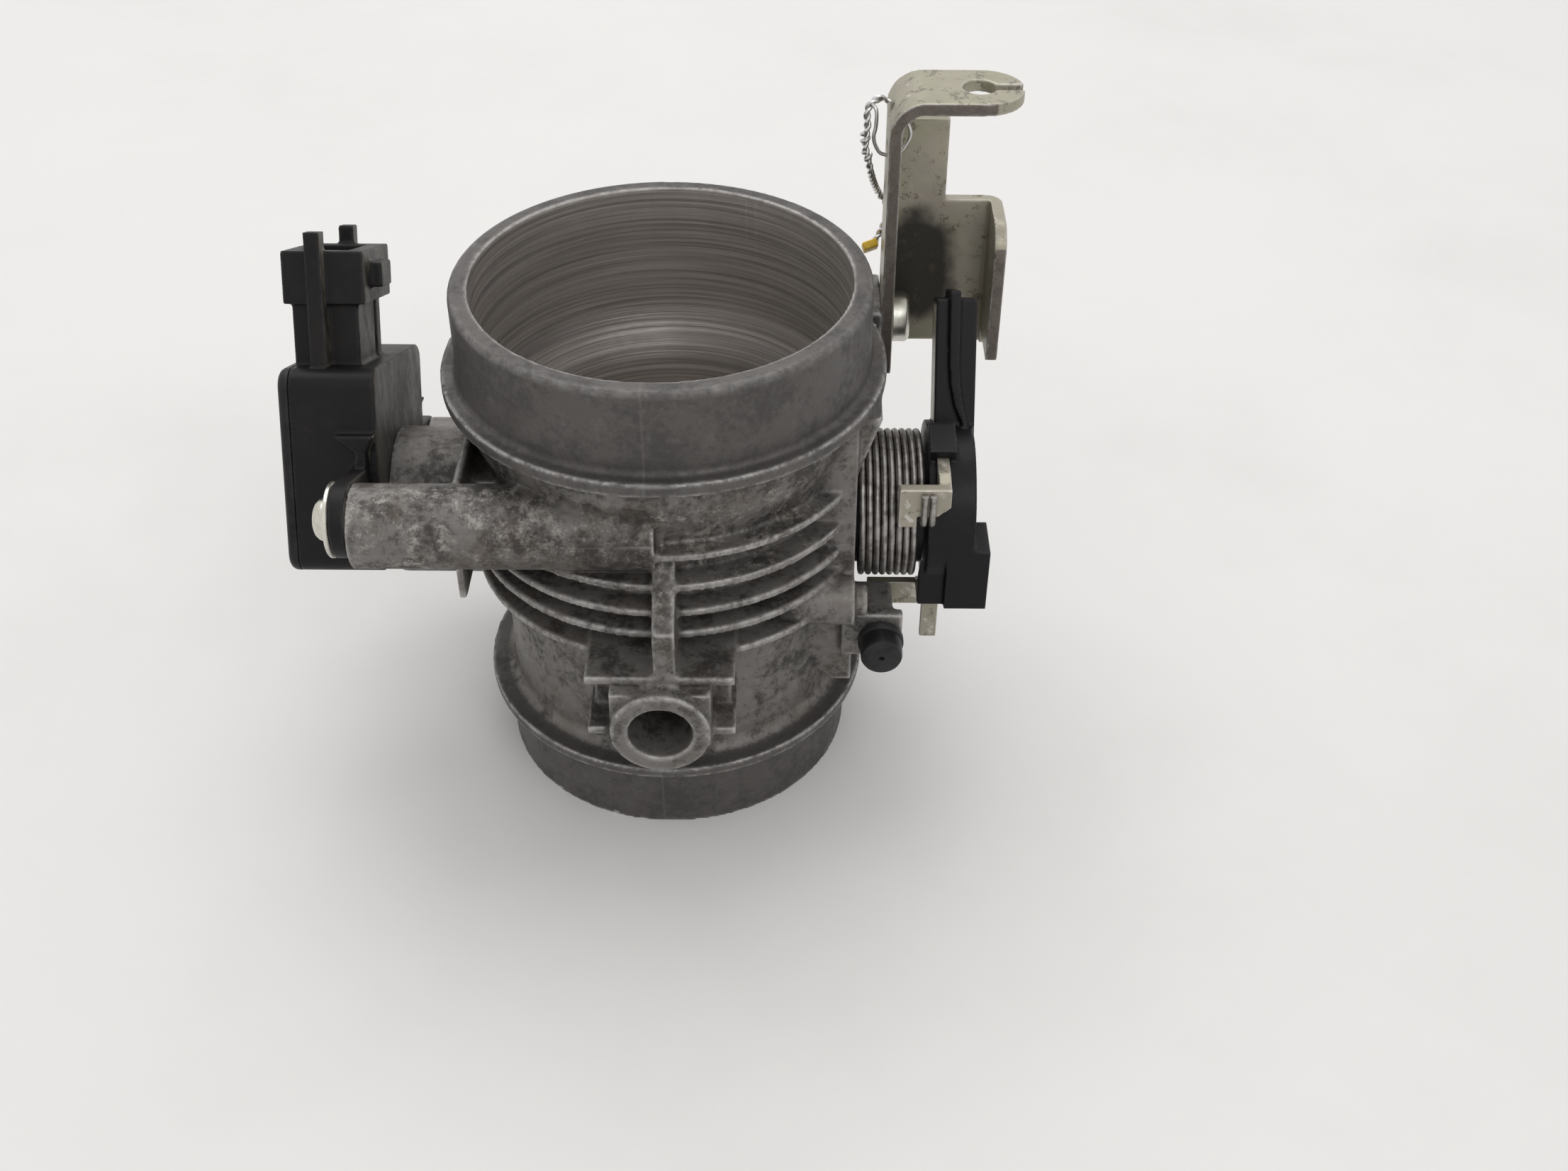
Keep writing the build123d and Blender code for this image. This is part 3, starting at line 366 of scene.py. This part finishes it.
def black_plastic(name, base, dust, roughness, film_strength, side_strength):
    material, tree, shader = new_material(name, Metallic=0.0, Specular_IOR_Level=0.2)
    film = use(tree, BLOTCHES, {"Scale": 60.0, "Cover": 0.54, "Softness": 0.1}).outputs[0]
    specks = use(tree, BLOTCHES, {"Scale": 420.0, "Cover": 0.64, "Softness": 0.03}).outputs[0]
    wear = use(tree, EDGE_WEAR, {"Strength": 0.8, "Break Up": 260.0})
    tone = mix(tree, calc(tree, "MULTIPLY", film, film_strength), base, dust)
    streaks = use(tree, GRAIN, {"Scale": 300.0, "Stretch X": 1.0, "Stretch Y": 1.0, "Stretch Z": 0.2}).outputs[0]
    side = calc(tree, "MULTIPLY", facing(tree, 0), ramp(tree, streaks, 0.3, 0.7))
    tone = mix(tree, calc(tree, "MULTIPLY", side, side_strength), tone, colour(0.115, 0.105, 0.088))
    tone = mix(tree, calc(tree, "MULTIPLY", specks, 0.35), tone, colour(0.06, 0.057, 0.054))
    tone = mix(tree, calc(tree, "MULTIPLY", wear.outputs["Edge"], 0.3), tone, colour(0.07, 0.07, 0.072))
    tree.links.new(tone, shader.inputs["Base Color"])
    tree.links.new(calc(tree, "ADD", calc(tree, "MULTIPLY", film, 0.15), roughness), shader.inputs["Roughness"])
    grain = even_grain(tree, 1500.0)
    bump(tree, shader, grain, 0.3, 0.06 * MM)
    return material


# The painted shadow inside the bracket, a dark patch on its back plate, and how fast it fades along each axis
BRACKET_SHADOW_CENTRE = (0.0435, 0.033, 0.0775)
BRACKET_SHADOW_SPREAD = (120.0, 120.0, 78.0)


def zinc_steel():
    material, tree, shader = new_material("passivated zinc sheet", Metallic=0.5)
    film = use(tree, BLOTCHES, {"Scale": 30.0, "Cover": 0.5, "Softness": 0.18}).outputs[0]
    tint = use(tree, BLOTCHES, {"Scale": 19.0, "Cover": 0.5, "Softness": 0.12}).outputs[0]
    specks = use(tree, BLOTCHES, {"Scale": 330.0, "Cover": 0.565, "Softness": 0.02}).outputs[0]
    wear = use(tree, EDGE_WEAR, {"Strength": 1.0, "Break Up": 300.0})
    tone = mix(tree, film, colour(0.37, 0.35, 0.26), colour(0.26, 0.265, 0.185))
    tone = mix(tree, calc(tree, "MULTIPLY", tint, 0.45), tone, colour(0.33, 0.27, 0.285))
    cut_edge = put(tree, "ShaderNodeAttribute", attribute_name="cut_edge").outputs["Fac"]
    rough_cut = use(tree, BLOTCHES, {"Scale": 300.0, "Cover": 0.5, "Softness": 0.1}).outputs[0]
    tone = mix(tree, calc(tree, "MULTIPLY", cut_edge, 0.9), tone,
               mix(tree, rough_cut, colour(0.12, 0.098, 0.09), colour(0.075, 0.06, 0.056)))
    cloud = put(tree, "ShaderNodeTexNoise", {"Vector": object_point(tree), "Scale": 120.0, "Detail": 5.0}).outputs[0]
    point = object_point(tree)
    offset = put(tree, "ShaderNodeVectorMath", {0: point, 1: BRACKET_SHADOW_CENTRE}, operation="SUBTRACT").outputs[0]
    spread = put(tree, "ShaderNodeVectorMath", {0: offset, 1: BRACKET_SHADOW_SPREAD}, operation="MULTIPLY").outputs[0]
    reach = put(tree, "ShaderNodeVectorMath", {0: spread}, operation="LENGTH").outputs["Value"]
    # painted shadow: a near-black cloudy patch where the inside of the bracket lies in shade
    bracket_shadow = ramp(tree, calc(tree, "SUBTRACT", calc(tree, "MULTIPLY", cloud, 0.9), reach), -0.6, -0.2)
    tone = mix(tree, calc(tree, "MULTIPLY", bracket_shadow, 0.93), tone, colour(0.022, 0.02, 0.018))
    tone = mix(tree, calc(tree, "MULTIPLY", specks, 0.65), tone, colour(0.08, 0.065, 0.055))
    tone = mix(tree, calc(tree, "MULTIPLY", wear.outputs["Edge"], 0.6), tone, colour(0.66, 0.65, 0.63))
    tree.links.new(tone, shader.inputs["Base Color"])
    rough = calc(tree, "ADD", calc(tree, "MULTIPLY", film, 0.1), 0.36)
    tree.links.new(calc(tree, "ADD", rough, calc(tree, "MULTIPLY", bracket_shadow, 0.25)), shader.inputs["Roughness"])
    grain = even_grain(tree, 500.0)
    bump(tree, shader, grain, 0.22, 0.12 * MM)
    return material


def plain_metal(name, light, dark, roughness, stretch=(1.0, 1.0, 1.0)):
    material, tree, shader = new_material(name, Metallic=1.0)
    film = use(tree, BLOTCHES, {"Scale": 180.0, "Cover": 0.52, "Softness": 0.12}).outputs[0]
    wear = use(tree, EDGE_WEAR, {"Strength": 0.7, "Break Up": 500.0})
    tone = mix(tree, film, light, dark)
    tone = mix(tree, calc(tree, "MULTIPLY", wear.outputs["Edge"], 0.5), tone, colour(0.8, 0.79, 0.77))
    tree.links.new(tone, shader.inputs["Base Color"])
    tree.links.new(calc(tree, "ADD", calc(tree, "MULTIPLY", film, 0.12), roughness), shader.inputs["Roughness"])
    grain = use(tree, GRAIN, {"Scale": 700.0, "Stretch X": stretch[0], "Stretch Y": stretch[1],
                              "Stretch Z": stretch[2]}).outputs[0]
    bump(tree, shader, grain, 0.18, 0.05 * MM)
    return material


def plain_mould(name, light, dark, roughness):
    material, tree, shader = new_material(name, Metallic=0.0)
    film = use(tree, BLOTCHES, {"Scale": 160.0, "Cover": 0.52, "Softness": 0.15}).outputs[0]
    tree.links.new(mix(tree, film, light, dark), shader.inputs["Base Color"])
    tree.links.new(calc(tree, "ADD", calc(tree, "MULTIPLY", film, 0.1), roughness), shader.inputs["Roughness"])
    grain = even_grain(tree, 1200.0)
    bump(tree, shader, grain, 0.2, 0.05 * MM)
    return material


CAST = cast_aluminium()
SENSOR = black_plastic("dusty sensor moulding", colour(0.006, 0.0055, 0.006), colour(0.020, 0.018, 0.016),
                       0.42, 0.4, 0.8)
SATIN = black_plastic("satin quadrant moulding", colour(0.006, 0.0055, 0.007), colour(0.014, 0.013, 0.015),
                      0.36, 0.35, 0.1)
BLACK = black_plastic("black moulding", colour(0.012, 0.012, 0.012), colour(0.03, 0.029, 0.03), 0.42, 0.4, 0.2)
CAP = black_plastic("soft black cap", colour(0.010, 0.010, 0.011), colour(0.02, 0.02, 0.02), 0.38, 0.3, 0.1)
ZINC = zinc_steel()
SCREW = plain_metal("bright zinc screws", colour(0.62, 0.60, 0.53), colour(0.42, 0.42, 0.36), 0.27)
SPRING = plain_metal("drawn spring wire", colour(0.20, 0.182, 0.17), colour(0.11, 0.098, 0.09), 0.42)
GROUND = plain_metal("ground steel", colour(0.56, 0.56, 0.56), colour(0.42, 0.41, 0.40), 0.22, (30.0, 1.0, 1.0))
BUTTERFLY = plain_metal("filmed brass", colour(0.50, 0.43, 0.30), colour(0.30, 0.25, 0.18), 0.35)
BRIGHT_WIRE = plain_metal("bright seal wire", colour(0.62, 0.62, 0.62), colour(0.34, 0.33, 0.32), 0.25)
TIN = plain_metal("tinned blades", colour(0.70, 0.68, 0.64), colour(0.55, 0.53, 0.50), 0.2)
RUBBER = plain_mould("seal rubber", colour(0.02, 0.02, 0.02), colour(0.035, 0.034, 0.033), 0.55)
YELLOW = plain_mould("yellow tag", colour(0.83, 0.55, 0.03), colour(0.70, 0.44, 0.03), 0.4)
BOARD = plain_mould("green board", colour(0.02, 0.12, 0.05), colour(0.03, 0.16, 0.07), 0.35)

NODE_FINISH = {
    "throttle_housing": CAST, "lever_side_bearing": GROUND, "sensor_side_bearing": GROUND,
    "lever_side_seal": RUBBER, "sensor_side_seal": RUBBER, "spring_sleeve": BLACK, "return_spring": SPRING,
    "backup_spring": SPRING, "sensor_housing": BLACK, "sensor_cover": BLACK, "sensor_board": BOARD,
    "sensor_terminals": TIN, "sensor_o_ring": RUBBER, "sensor_washers": SCREW, "sensor_screws": SCREW,
    "cable_bracket": ZINC, "bracket_screw": SCREW, "seal_wire": BRIGHT_WIRE, "seal_tag": YELLOW,
    "throttle_shaft": GROUND, "throttle_plate": BUTTERFLY, "plate_screws": SCREW, "sensor_rotor": BLACK,
    "throttle_lever": ZINC, "throttle_quadrant": BLACK, "lock_washer": SCREW, "shaft_nut": SCREW,
    "idle_screw": SCREW, "idle_screw_cap": CAP,
}
for node, material in NODE_FINISH.items():
    mesh = frame["nodes"][node].data
    mesh.materials.clear()
    mesh.materials.append(material)


# ---- Camera ----
CAMERA_PLACE = (0.02005, -0.25033, 0.23466)
CAMERA_PITCH, CAMERA_ROLL = 39.355, 0.385
CAMERA_LENS = 40.45


def place_camera():
    pitch, roll = radians(CAMERA_PITCH), radians(CAMERA_ROLL)
    right = AXIS_X
    up = Vector((0, sin(pitch), cos(pitch)))
    forward = Vector((0, cos(pitch), -sin(pitch)))
    tilted_right = right * cos(roll) + up * sin(roll)
    tilted_up = up * cos(roll) - right * sin(roll)
    data = bpy.data.cameras.new("camera")
    data.sensor_width = 36
    data.lens = CAMERA_LENS
    data.clip_start = 0.01
    camera = bpy.data.objects.new("camera", data)
    turn = Matrix((tilted_right, tilted_up, -forward)).transposed().to_4x4()
    camera.matrix_world = Matrix.Translation(CAMERA_PLACE) @ turn
    bpy.context.scene.collection.objects.link(camera)
    bpy.context.scene.camera = camera


place_camera()


# ---- Stage ----
def floor():
    bm = bmesh.new()
    bmesh.ops.create_grid(bm, x_segments=2, y_segments=2, size=3.0)
    piece = from_bmesh(bm, "table_top")
    material, tree, shader = new_material("white table", Roughness=0.62, Specular_IOR_Level=0.25)
    cloud = put(tree, "ShaderNodeTexNoise", {"Vector": object_point(tree), "Scale": 9.0, "Detail": 6.0,
                                             "Roughness": 0.65}).outputs[0]
    tone = mix(tree, ramp(tree, cloud, 0.4, 0.75), colour(0.68, 0.675, 0.668), colour(0.645, 0.64, 0.632))
    tree.links.new(tone, shader.inputs["Base Color"])
    piece.data.materials.append(material)


def soft_light(name, place, target, size, power):
    data = bpy.data.lights.new(name, "AREA")
    data.shape = "DISK"
    data.size = size
    data.energy = power
    lamp = bpy.data.objects.new(name, data)
    aim = (Vector(target) - Vector(place)).to_track_quat("-Z", "Y").to_matrix().to_4x4()
    lamp.matrix_world = Matrix.Translation(place) @ aim
    bpy.context.scene.collection.objects.link(lamp)


SKY_COLOUR, SKY_STRENGTH = colour(0.98, 0.965, 0.95), 0.88
LIT_POINT = (0, 0, 0.05)

floor()
world = bpy.data.worlds.new("studio")
world.use_nodes = True
world.node_tree.nodes["Background"].inputs["Color"].default_value = SKY_COLOUR
world.node_tree.nodes["Background"].inputs["Strength"].default_value = SKY_STRENGTH
bpy.context.scene.world = world
bpy.context.scene.view_settings.view_transform = "Standard"
soft_light("overhead", (-0.1, 0.45, 0.95), LIT_POINT, 0.9, 4.2)
soft_light("front_fill", (0.3, -0.8, 0.9), LIT_POINT, 0.7, 2.4)


# ---- Casting ----
def mark_vertices(piece, name, rule):
    attribute = piece.data.attributes.new(name, "FLOAT", "POINT")
    values = [rule(vertex.co / MM, vertex.normal) for vertex in piece.data.vertices]
    attribute.data.foreach_set("value", values)


# Where the casting is machined, and the box round its front screw tube, in millimetres
BORE_LIMIT, INLET_BORE, OUTLET_BORE = 31.6, 31.0, 26.3
INLET_FOOT, OUTLET_TOP = 76.0, 16.2
TUBE_BACK, TUBE_LOW, TUBE_HIGH = -20.5, 55.0, 72.0
# where the tube's left half starts to darken, and over what length it grows fully dark
DARKENING_START, DARKENING_FADE = -24.0, 14.0
CAST_VOXEL, CAST_KEPT = 0.42, 0.25


def casting():
    piece = softened(welded_copy("throttle_housing", "rounded_casting"), CAST_VOXEL, 2, CAST_KEPT)

    def is_turned(place, normal):
        radial = Vector((place.x, place.y, 0))
        inwards = radial.length > 1 and normal.dot(radial.normalized()) < -0.3
        return 1.0 if inwards and radial.length < BORE_LIMIT else 0.0

    def is_skimmed(place, normal):
        radial = Vector((place.x, place.y, 0)).length
        top = place.z > INLET_FOOT and radial > INLET_BORE
        foot = place.z < OUTLET_TOP and radial > OUTLET_BORE
        return 1.0 if top or foot else 0.0

    def is_tube(place, normal):
        return 1.0 if place.y < TUBE_BACK and TUBE_LOW < place.z < TUBE_HIGH else 0.0

    def is_darkened_tube_end(place, normal):
        left_half = is_tube(place, normal) and place.x < 0
        return min(1.0, max(0.0, (place.x - DARKENING_START) / DARKENING_FADE)) if left_half else 0.0

    mark_vertices(piece, "turned", is_turned)
    mark_vertices(piece, "skimmed", is_skimmed)
    mark_vertices(piece, "scuffed", is_tube)
    mark_vertices(piece, "darkened_tube_end", is_darkened_tube_end)
    return finish_piece(piece, "housing", "cast_aluminium", CAST, "throttle_housing")


casting()


# ---- Mouldings and pressings with rounded edges ----
COVER_FACE = -62.9
COVER_ROUND = 1.3
BRACKET_FRONT = 21.3  # the cut faces of the sheet lie in front of this


def soft_piece(node, name, body, slot, material, voxel, iterations, kept):
    piece = softened(welded_copy(node, name), voxel, iterations, kept)
    return finish_piece(piece, body, slot, material, node)


def cover():
    piece = bevelled(welded_copy("sensor_cover", "sensor_cover_rounded", flat_angle=0.5), COVER_ROUND * MM,
                     segments=4, angle=35, rule=lambda place: place.x < COVER_FACE)
    return finish_piece(piece, "housing", "black_plastic", SENSOR, "sensor_cover")


soft_piece("sensor_housing", "sensor_case_rounded", "housing", "black_plastic", SENSOR,
           voxel=0.32, iterations=2, kept=0.4)
cover()
bracket = soft_piece("cable_bracket", "bracket_pressing", "housing", "zinc_steel", ZINC,
                     voxel=0.25, iterations=2, kept=0.5)
soft_piece("throttle_lever", "lever_pressing", "throttle_shaft", "zinc_steel", ZINC,
           voxel=0.2, iterations=2, kept=0.5)
soft_piece("throttle_quadrant", "quadrant_moulding", "throttle_shaft", "black_plastic", SATIN,
           voxel=0.25, iterations=3, kept=0.5)


def is_cut_edge(place, normal):
    return 1.0 if place.y < BRACKET_FRONT and normal.y < -0.6 else 0.0


mark_vertices(bracket, "cut_edge", is_cut_edge)


# ---- Screws, washers and cap ----
def turned_pieces(name, profiles, body, slot, material, replaced, steps):
    joined = bmesh.new()
    for profile, start, axis in profiles:
        part = lathe([(along * MM, radius * MM) for along, radius in profile], Vector(start) * MM, axis, steps)
        mesh = bpy.data.meshes.new(name)
        part.to_mesh(mesh)
        part.free()
        joined.from_mesh(mesh)
        bpy.data.meshes.remove(mesh)
    piece = smooth(from_bmesh(joined, name), 38)
    return finish_piece(piece, body, slot, material, replaced)


# Each profile lists (distance from the seat, radius), in millimetres
SENSOR_SCREWS = ((-27.75, 65.02), (30.49, 38.48))
WASHER_SEAT, HEAD_SEAT = -51.1, -51.9
PAN_HEAD = ((-16.8, 0), (-16.8, 1.7), (-16.4, 2.0), (0, 2.0), (0, 3.4), (0.12, 3.5), (0.9, 3.5), (1.6, 3.3),
            (2.2, 2.75), (2.5, 2.1), (2.6, 1.45), (2.45, 1.3), (1.3, 1.0), (1.15, 0))
WASHER = ((0, 2.3), (0, 5.9), (0.18, 6.1), (0.62, 6.1), (0.8, 5.9), (0.8, 2.3), (0, 2.3))
turned_pieces("pan_head_screws", [(PAN_HEAD, (HEAD_SEAT, y, z), (-1, 0, 0)) for y, z in SENSOR_SCREWS],
              "housing", "zinc_screws", SCREW, "sensor_screws", 48)
turned_pieces("turned_washers", [(WASHER, (WASHER_SEAT, y, z), (-1, 0, 0)) for y, z in SENSOR_SCREWS],
              "housing", "zinc_screws", SCREW, "sensor_washers", 64)

BRACKET_HEAD = ((-14.0, 0), (-14.0, 2.6), (-13.6, 3.0), (0, 3.0), (0, 4.3), (0.2, 4.5), (2.3, 4.5), (2.8, 4.3),
                (3.1, 3.8), (3.1, 2.2), (2.9, 2.05), (1.2, 2.0), (1.0, 1.6), (1.0, 0))
BRACKET_SEAT = (39.1, 27.0, 70.4)
turned_pieces("bracket_cap_screw", [(BRACKET_HEAD, BRACKET_SEAT, (1, 0, 0))],
              "housing", "zinc_screws", SCREW, "bracket_screw", 56)

IDLE_CAP = ((3.0, 0), (3.0, 2.04), (0, 2.04), (0, 3.85), (0.12, 3.95), (1.2, 3.95), (1.4, 3.8), (1.5, 3.65),
            (4.5, 3.6), (4.95, 3.4), (5.2, 2.9), (5.2, 0.5), (5.05, 0.4), (4.7, 0.3), (4.7, 0))
IDLE_CAP_SEAT = (36.9, -19.25, 33.3)
turned_pieces("idle_cap_turned", [(IDLE_CAP, IDLE_CAP_SEAT, (0, -1, 0))],
              "idle_screw", "black_plastic", CAP, "idle_screw_cap", 64)


# ---- Return springs with their hooks over the lever tab ----
COIL_RADIUS, COIL_PITCH = 12.4, 1.26
HOOK_ANGLE = radians(28)
RETURN_HOOK, BACKUP_HOOK = 44.8, 43.4
RETURN_TURNS, BACKUP_TURNS = (8.25, 4.66), (4.62, 0)
WIRE_RADIUS = 0.58


def coil_point(turns):
    """A point on the coil, counted in turns back from the hook."""
    angle = HOOK_ANGLE + 2 * pi * turns
    height = SHAFT_HEIGHT / MM
    return (BACKUP_HOOK - COIL_PITCH * turns, -COIL_RADIUS * cos(angle), height + COIL_RADIUS * sin(angle))


def hook(x):
    """The wire's end, forward under the tab and up in front of it."""
    return [(x, -12.0, 54.75), (x, -13.1, 54.95), (x, -14.3, 55.05), (x, -15.15, 55.4), (x, -15.5, 56.3),
            (x, -15.5, 58.6), (x, -15.5, 61.2)]


def coil(first, last, steps=56):
    count = round((first - last) * steps)
    return [coil_point(first - step / steps) for step in range(count + 1)]


def sprung(name, paths, node):
    piece = wire(name, paths, WIRE_RADIUS, 3)
    piece.data.materials.append(SPRING)
    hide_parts(node)
    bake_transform(piece)


inner_end = eased([(42.6, -10.0, 52.4), (44.2, -10.8, 54.0), *hook(RETURN_HOOK)], 6)
outer_end = eased([coil_point(0), *hook(BACKUP_HOOK)], 6)
sprung("return_coil", [coil(*RETURN_TURNS), inner_end], "return_spring")
sprung("backup_coil", [coil(*BACKUP_TURNS) + outer_end], "backup_spring")


# ---- Seal wire and tag ----
def twisted(path, spread, pitch, phase):
    """One strand of a twisted pair following the path."""
    strand, travelled = [], 0.0
    for index, place in enumerate(path):
        ahead = path[min(index + 1, len(path) - 1)] - path[max(index - 1, 0)]
        side = ahead.cross(AXIS_X).normalized()
        other = ahead.cross(side).normalized()
        angle = 2 * pi * travelled / pitch + phase
        strand.append(place + (side * cos(angle) + other * sin(angle)) * spread)
        travelled += (path[min(index + 1, len(path) - 1)] - place).length
    return strand


TWIST_PATH = eased([
    (36.8, 31.0, 109.9), (35.6, 30.4, 110.4), (34.2, 29.6, 109.9), (33.5, 29.0, 108.6), (33.6, 28.6, 106.6),
    (33.4, 28.5, 104.4), (33.4, 28.5, 102.2), (34.0, 28.5, 99.8), (34.5, 29.3, 97.4), (35.3, 32.2, 94.0),
    (36.4, 35.6, 90.4), (38.2, 36.2, 87.0), (37.2, 36.2, 83.0), (35.6, 34.6, 80.4)], 14)
KNOT_PATHS = [eased([(33.2, 28.5, 105.2), (33.3, 28.5, 104.4), (33.3, 28.5, 103.4)], 20),
              eased([(33.5, 28.5, 101.9), (33.8, 28.5, 100.9), (34.2, 28.5, 100.0)], 20)]
INNER_STRAND = eased([
    (34.2, 29.4, 110.0), (35.0, 28.6, 109.0), (35.0, 28.2, 106.4), (34.7, 28.0, 104.6), (35.1, 28.0, 102.9),
    (36.2, 28.0, 101.5), (38.6, 28.0, 101.4), (39.9, 28.0, 102.6), (40.9, 28.0, 105.0), (40.2, 28.6, 107.2),
    (38.8, 29.6, 109.2), (36.8, 31.0, 109.9)], 8)
TWIST_SPREAD, TWIST_PITCH = 0.34, 3.1
KNOT_SPREAD, KNOT_PITCH = 0.6, 1.3
SEAL_WIRE_RADIUS = 0.33
pair = [twisted(TWIST_PATH, TWIST_SPREAD, TWIST_PITCH, phase) for phase in (0.0, pi)]
knots = [twisted(knot, KNOT_SPREAD, KNOT_PITCH, 0.0) for knot in KNOT_PATHS]
seal = wire("twisted_seal_wire", [*pair, INNER_STRAND, *knots], SEAL_WIRE_RADIUS, 2)
finish_piece(seal, "housing", "seal_wire", BRIGHT_WIRE, "seal_wire")


TAG_SIZE = (2.7, 3.6, 1.5)
TAG_PLACE = (35.1, 33.8, 80.9)
TAG_TILT, TAG_LEAN = -39, -20


def tag():
    bm = bmesh.new()
    bmesh.ops.create_cube(bm, size=MM)
    bmesh.ops.scale(bm, vec=TAG_SIZE, verts=bm.verts)
    bmesh.ops.bevel(bm, geom=bm.edges[:], offset=0.25 * MM, offset_type="OFFSET", segments=3, profile=0.5,
                    affect="EDGES", material=-1)
    turn = Matrix.Rotation(radians(TAG_TILT), 4, "X") @ Matrix.Rotation(radians(TAG_LEAN), 4, "Y")
    bmesh.ops.transform(bm, matrix=Matrix.Translation(Vector(TAG_PLACE) * MM) @ turn, verts=bm.verts)
    bmesh.ops.recalc_face_normals(bm, faces=bm.faces)
    piece = smooth(from_bmesh(bm, "crimped_tag"), 40)
    return finish_piece(piece, "housing", "yellow_plastic", YELLOW, "seal_tag")


tag()
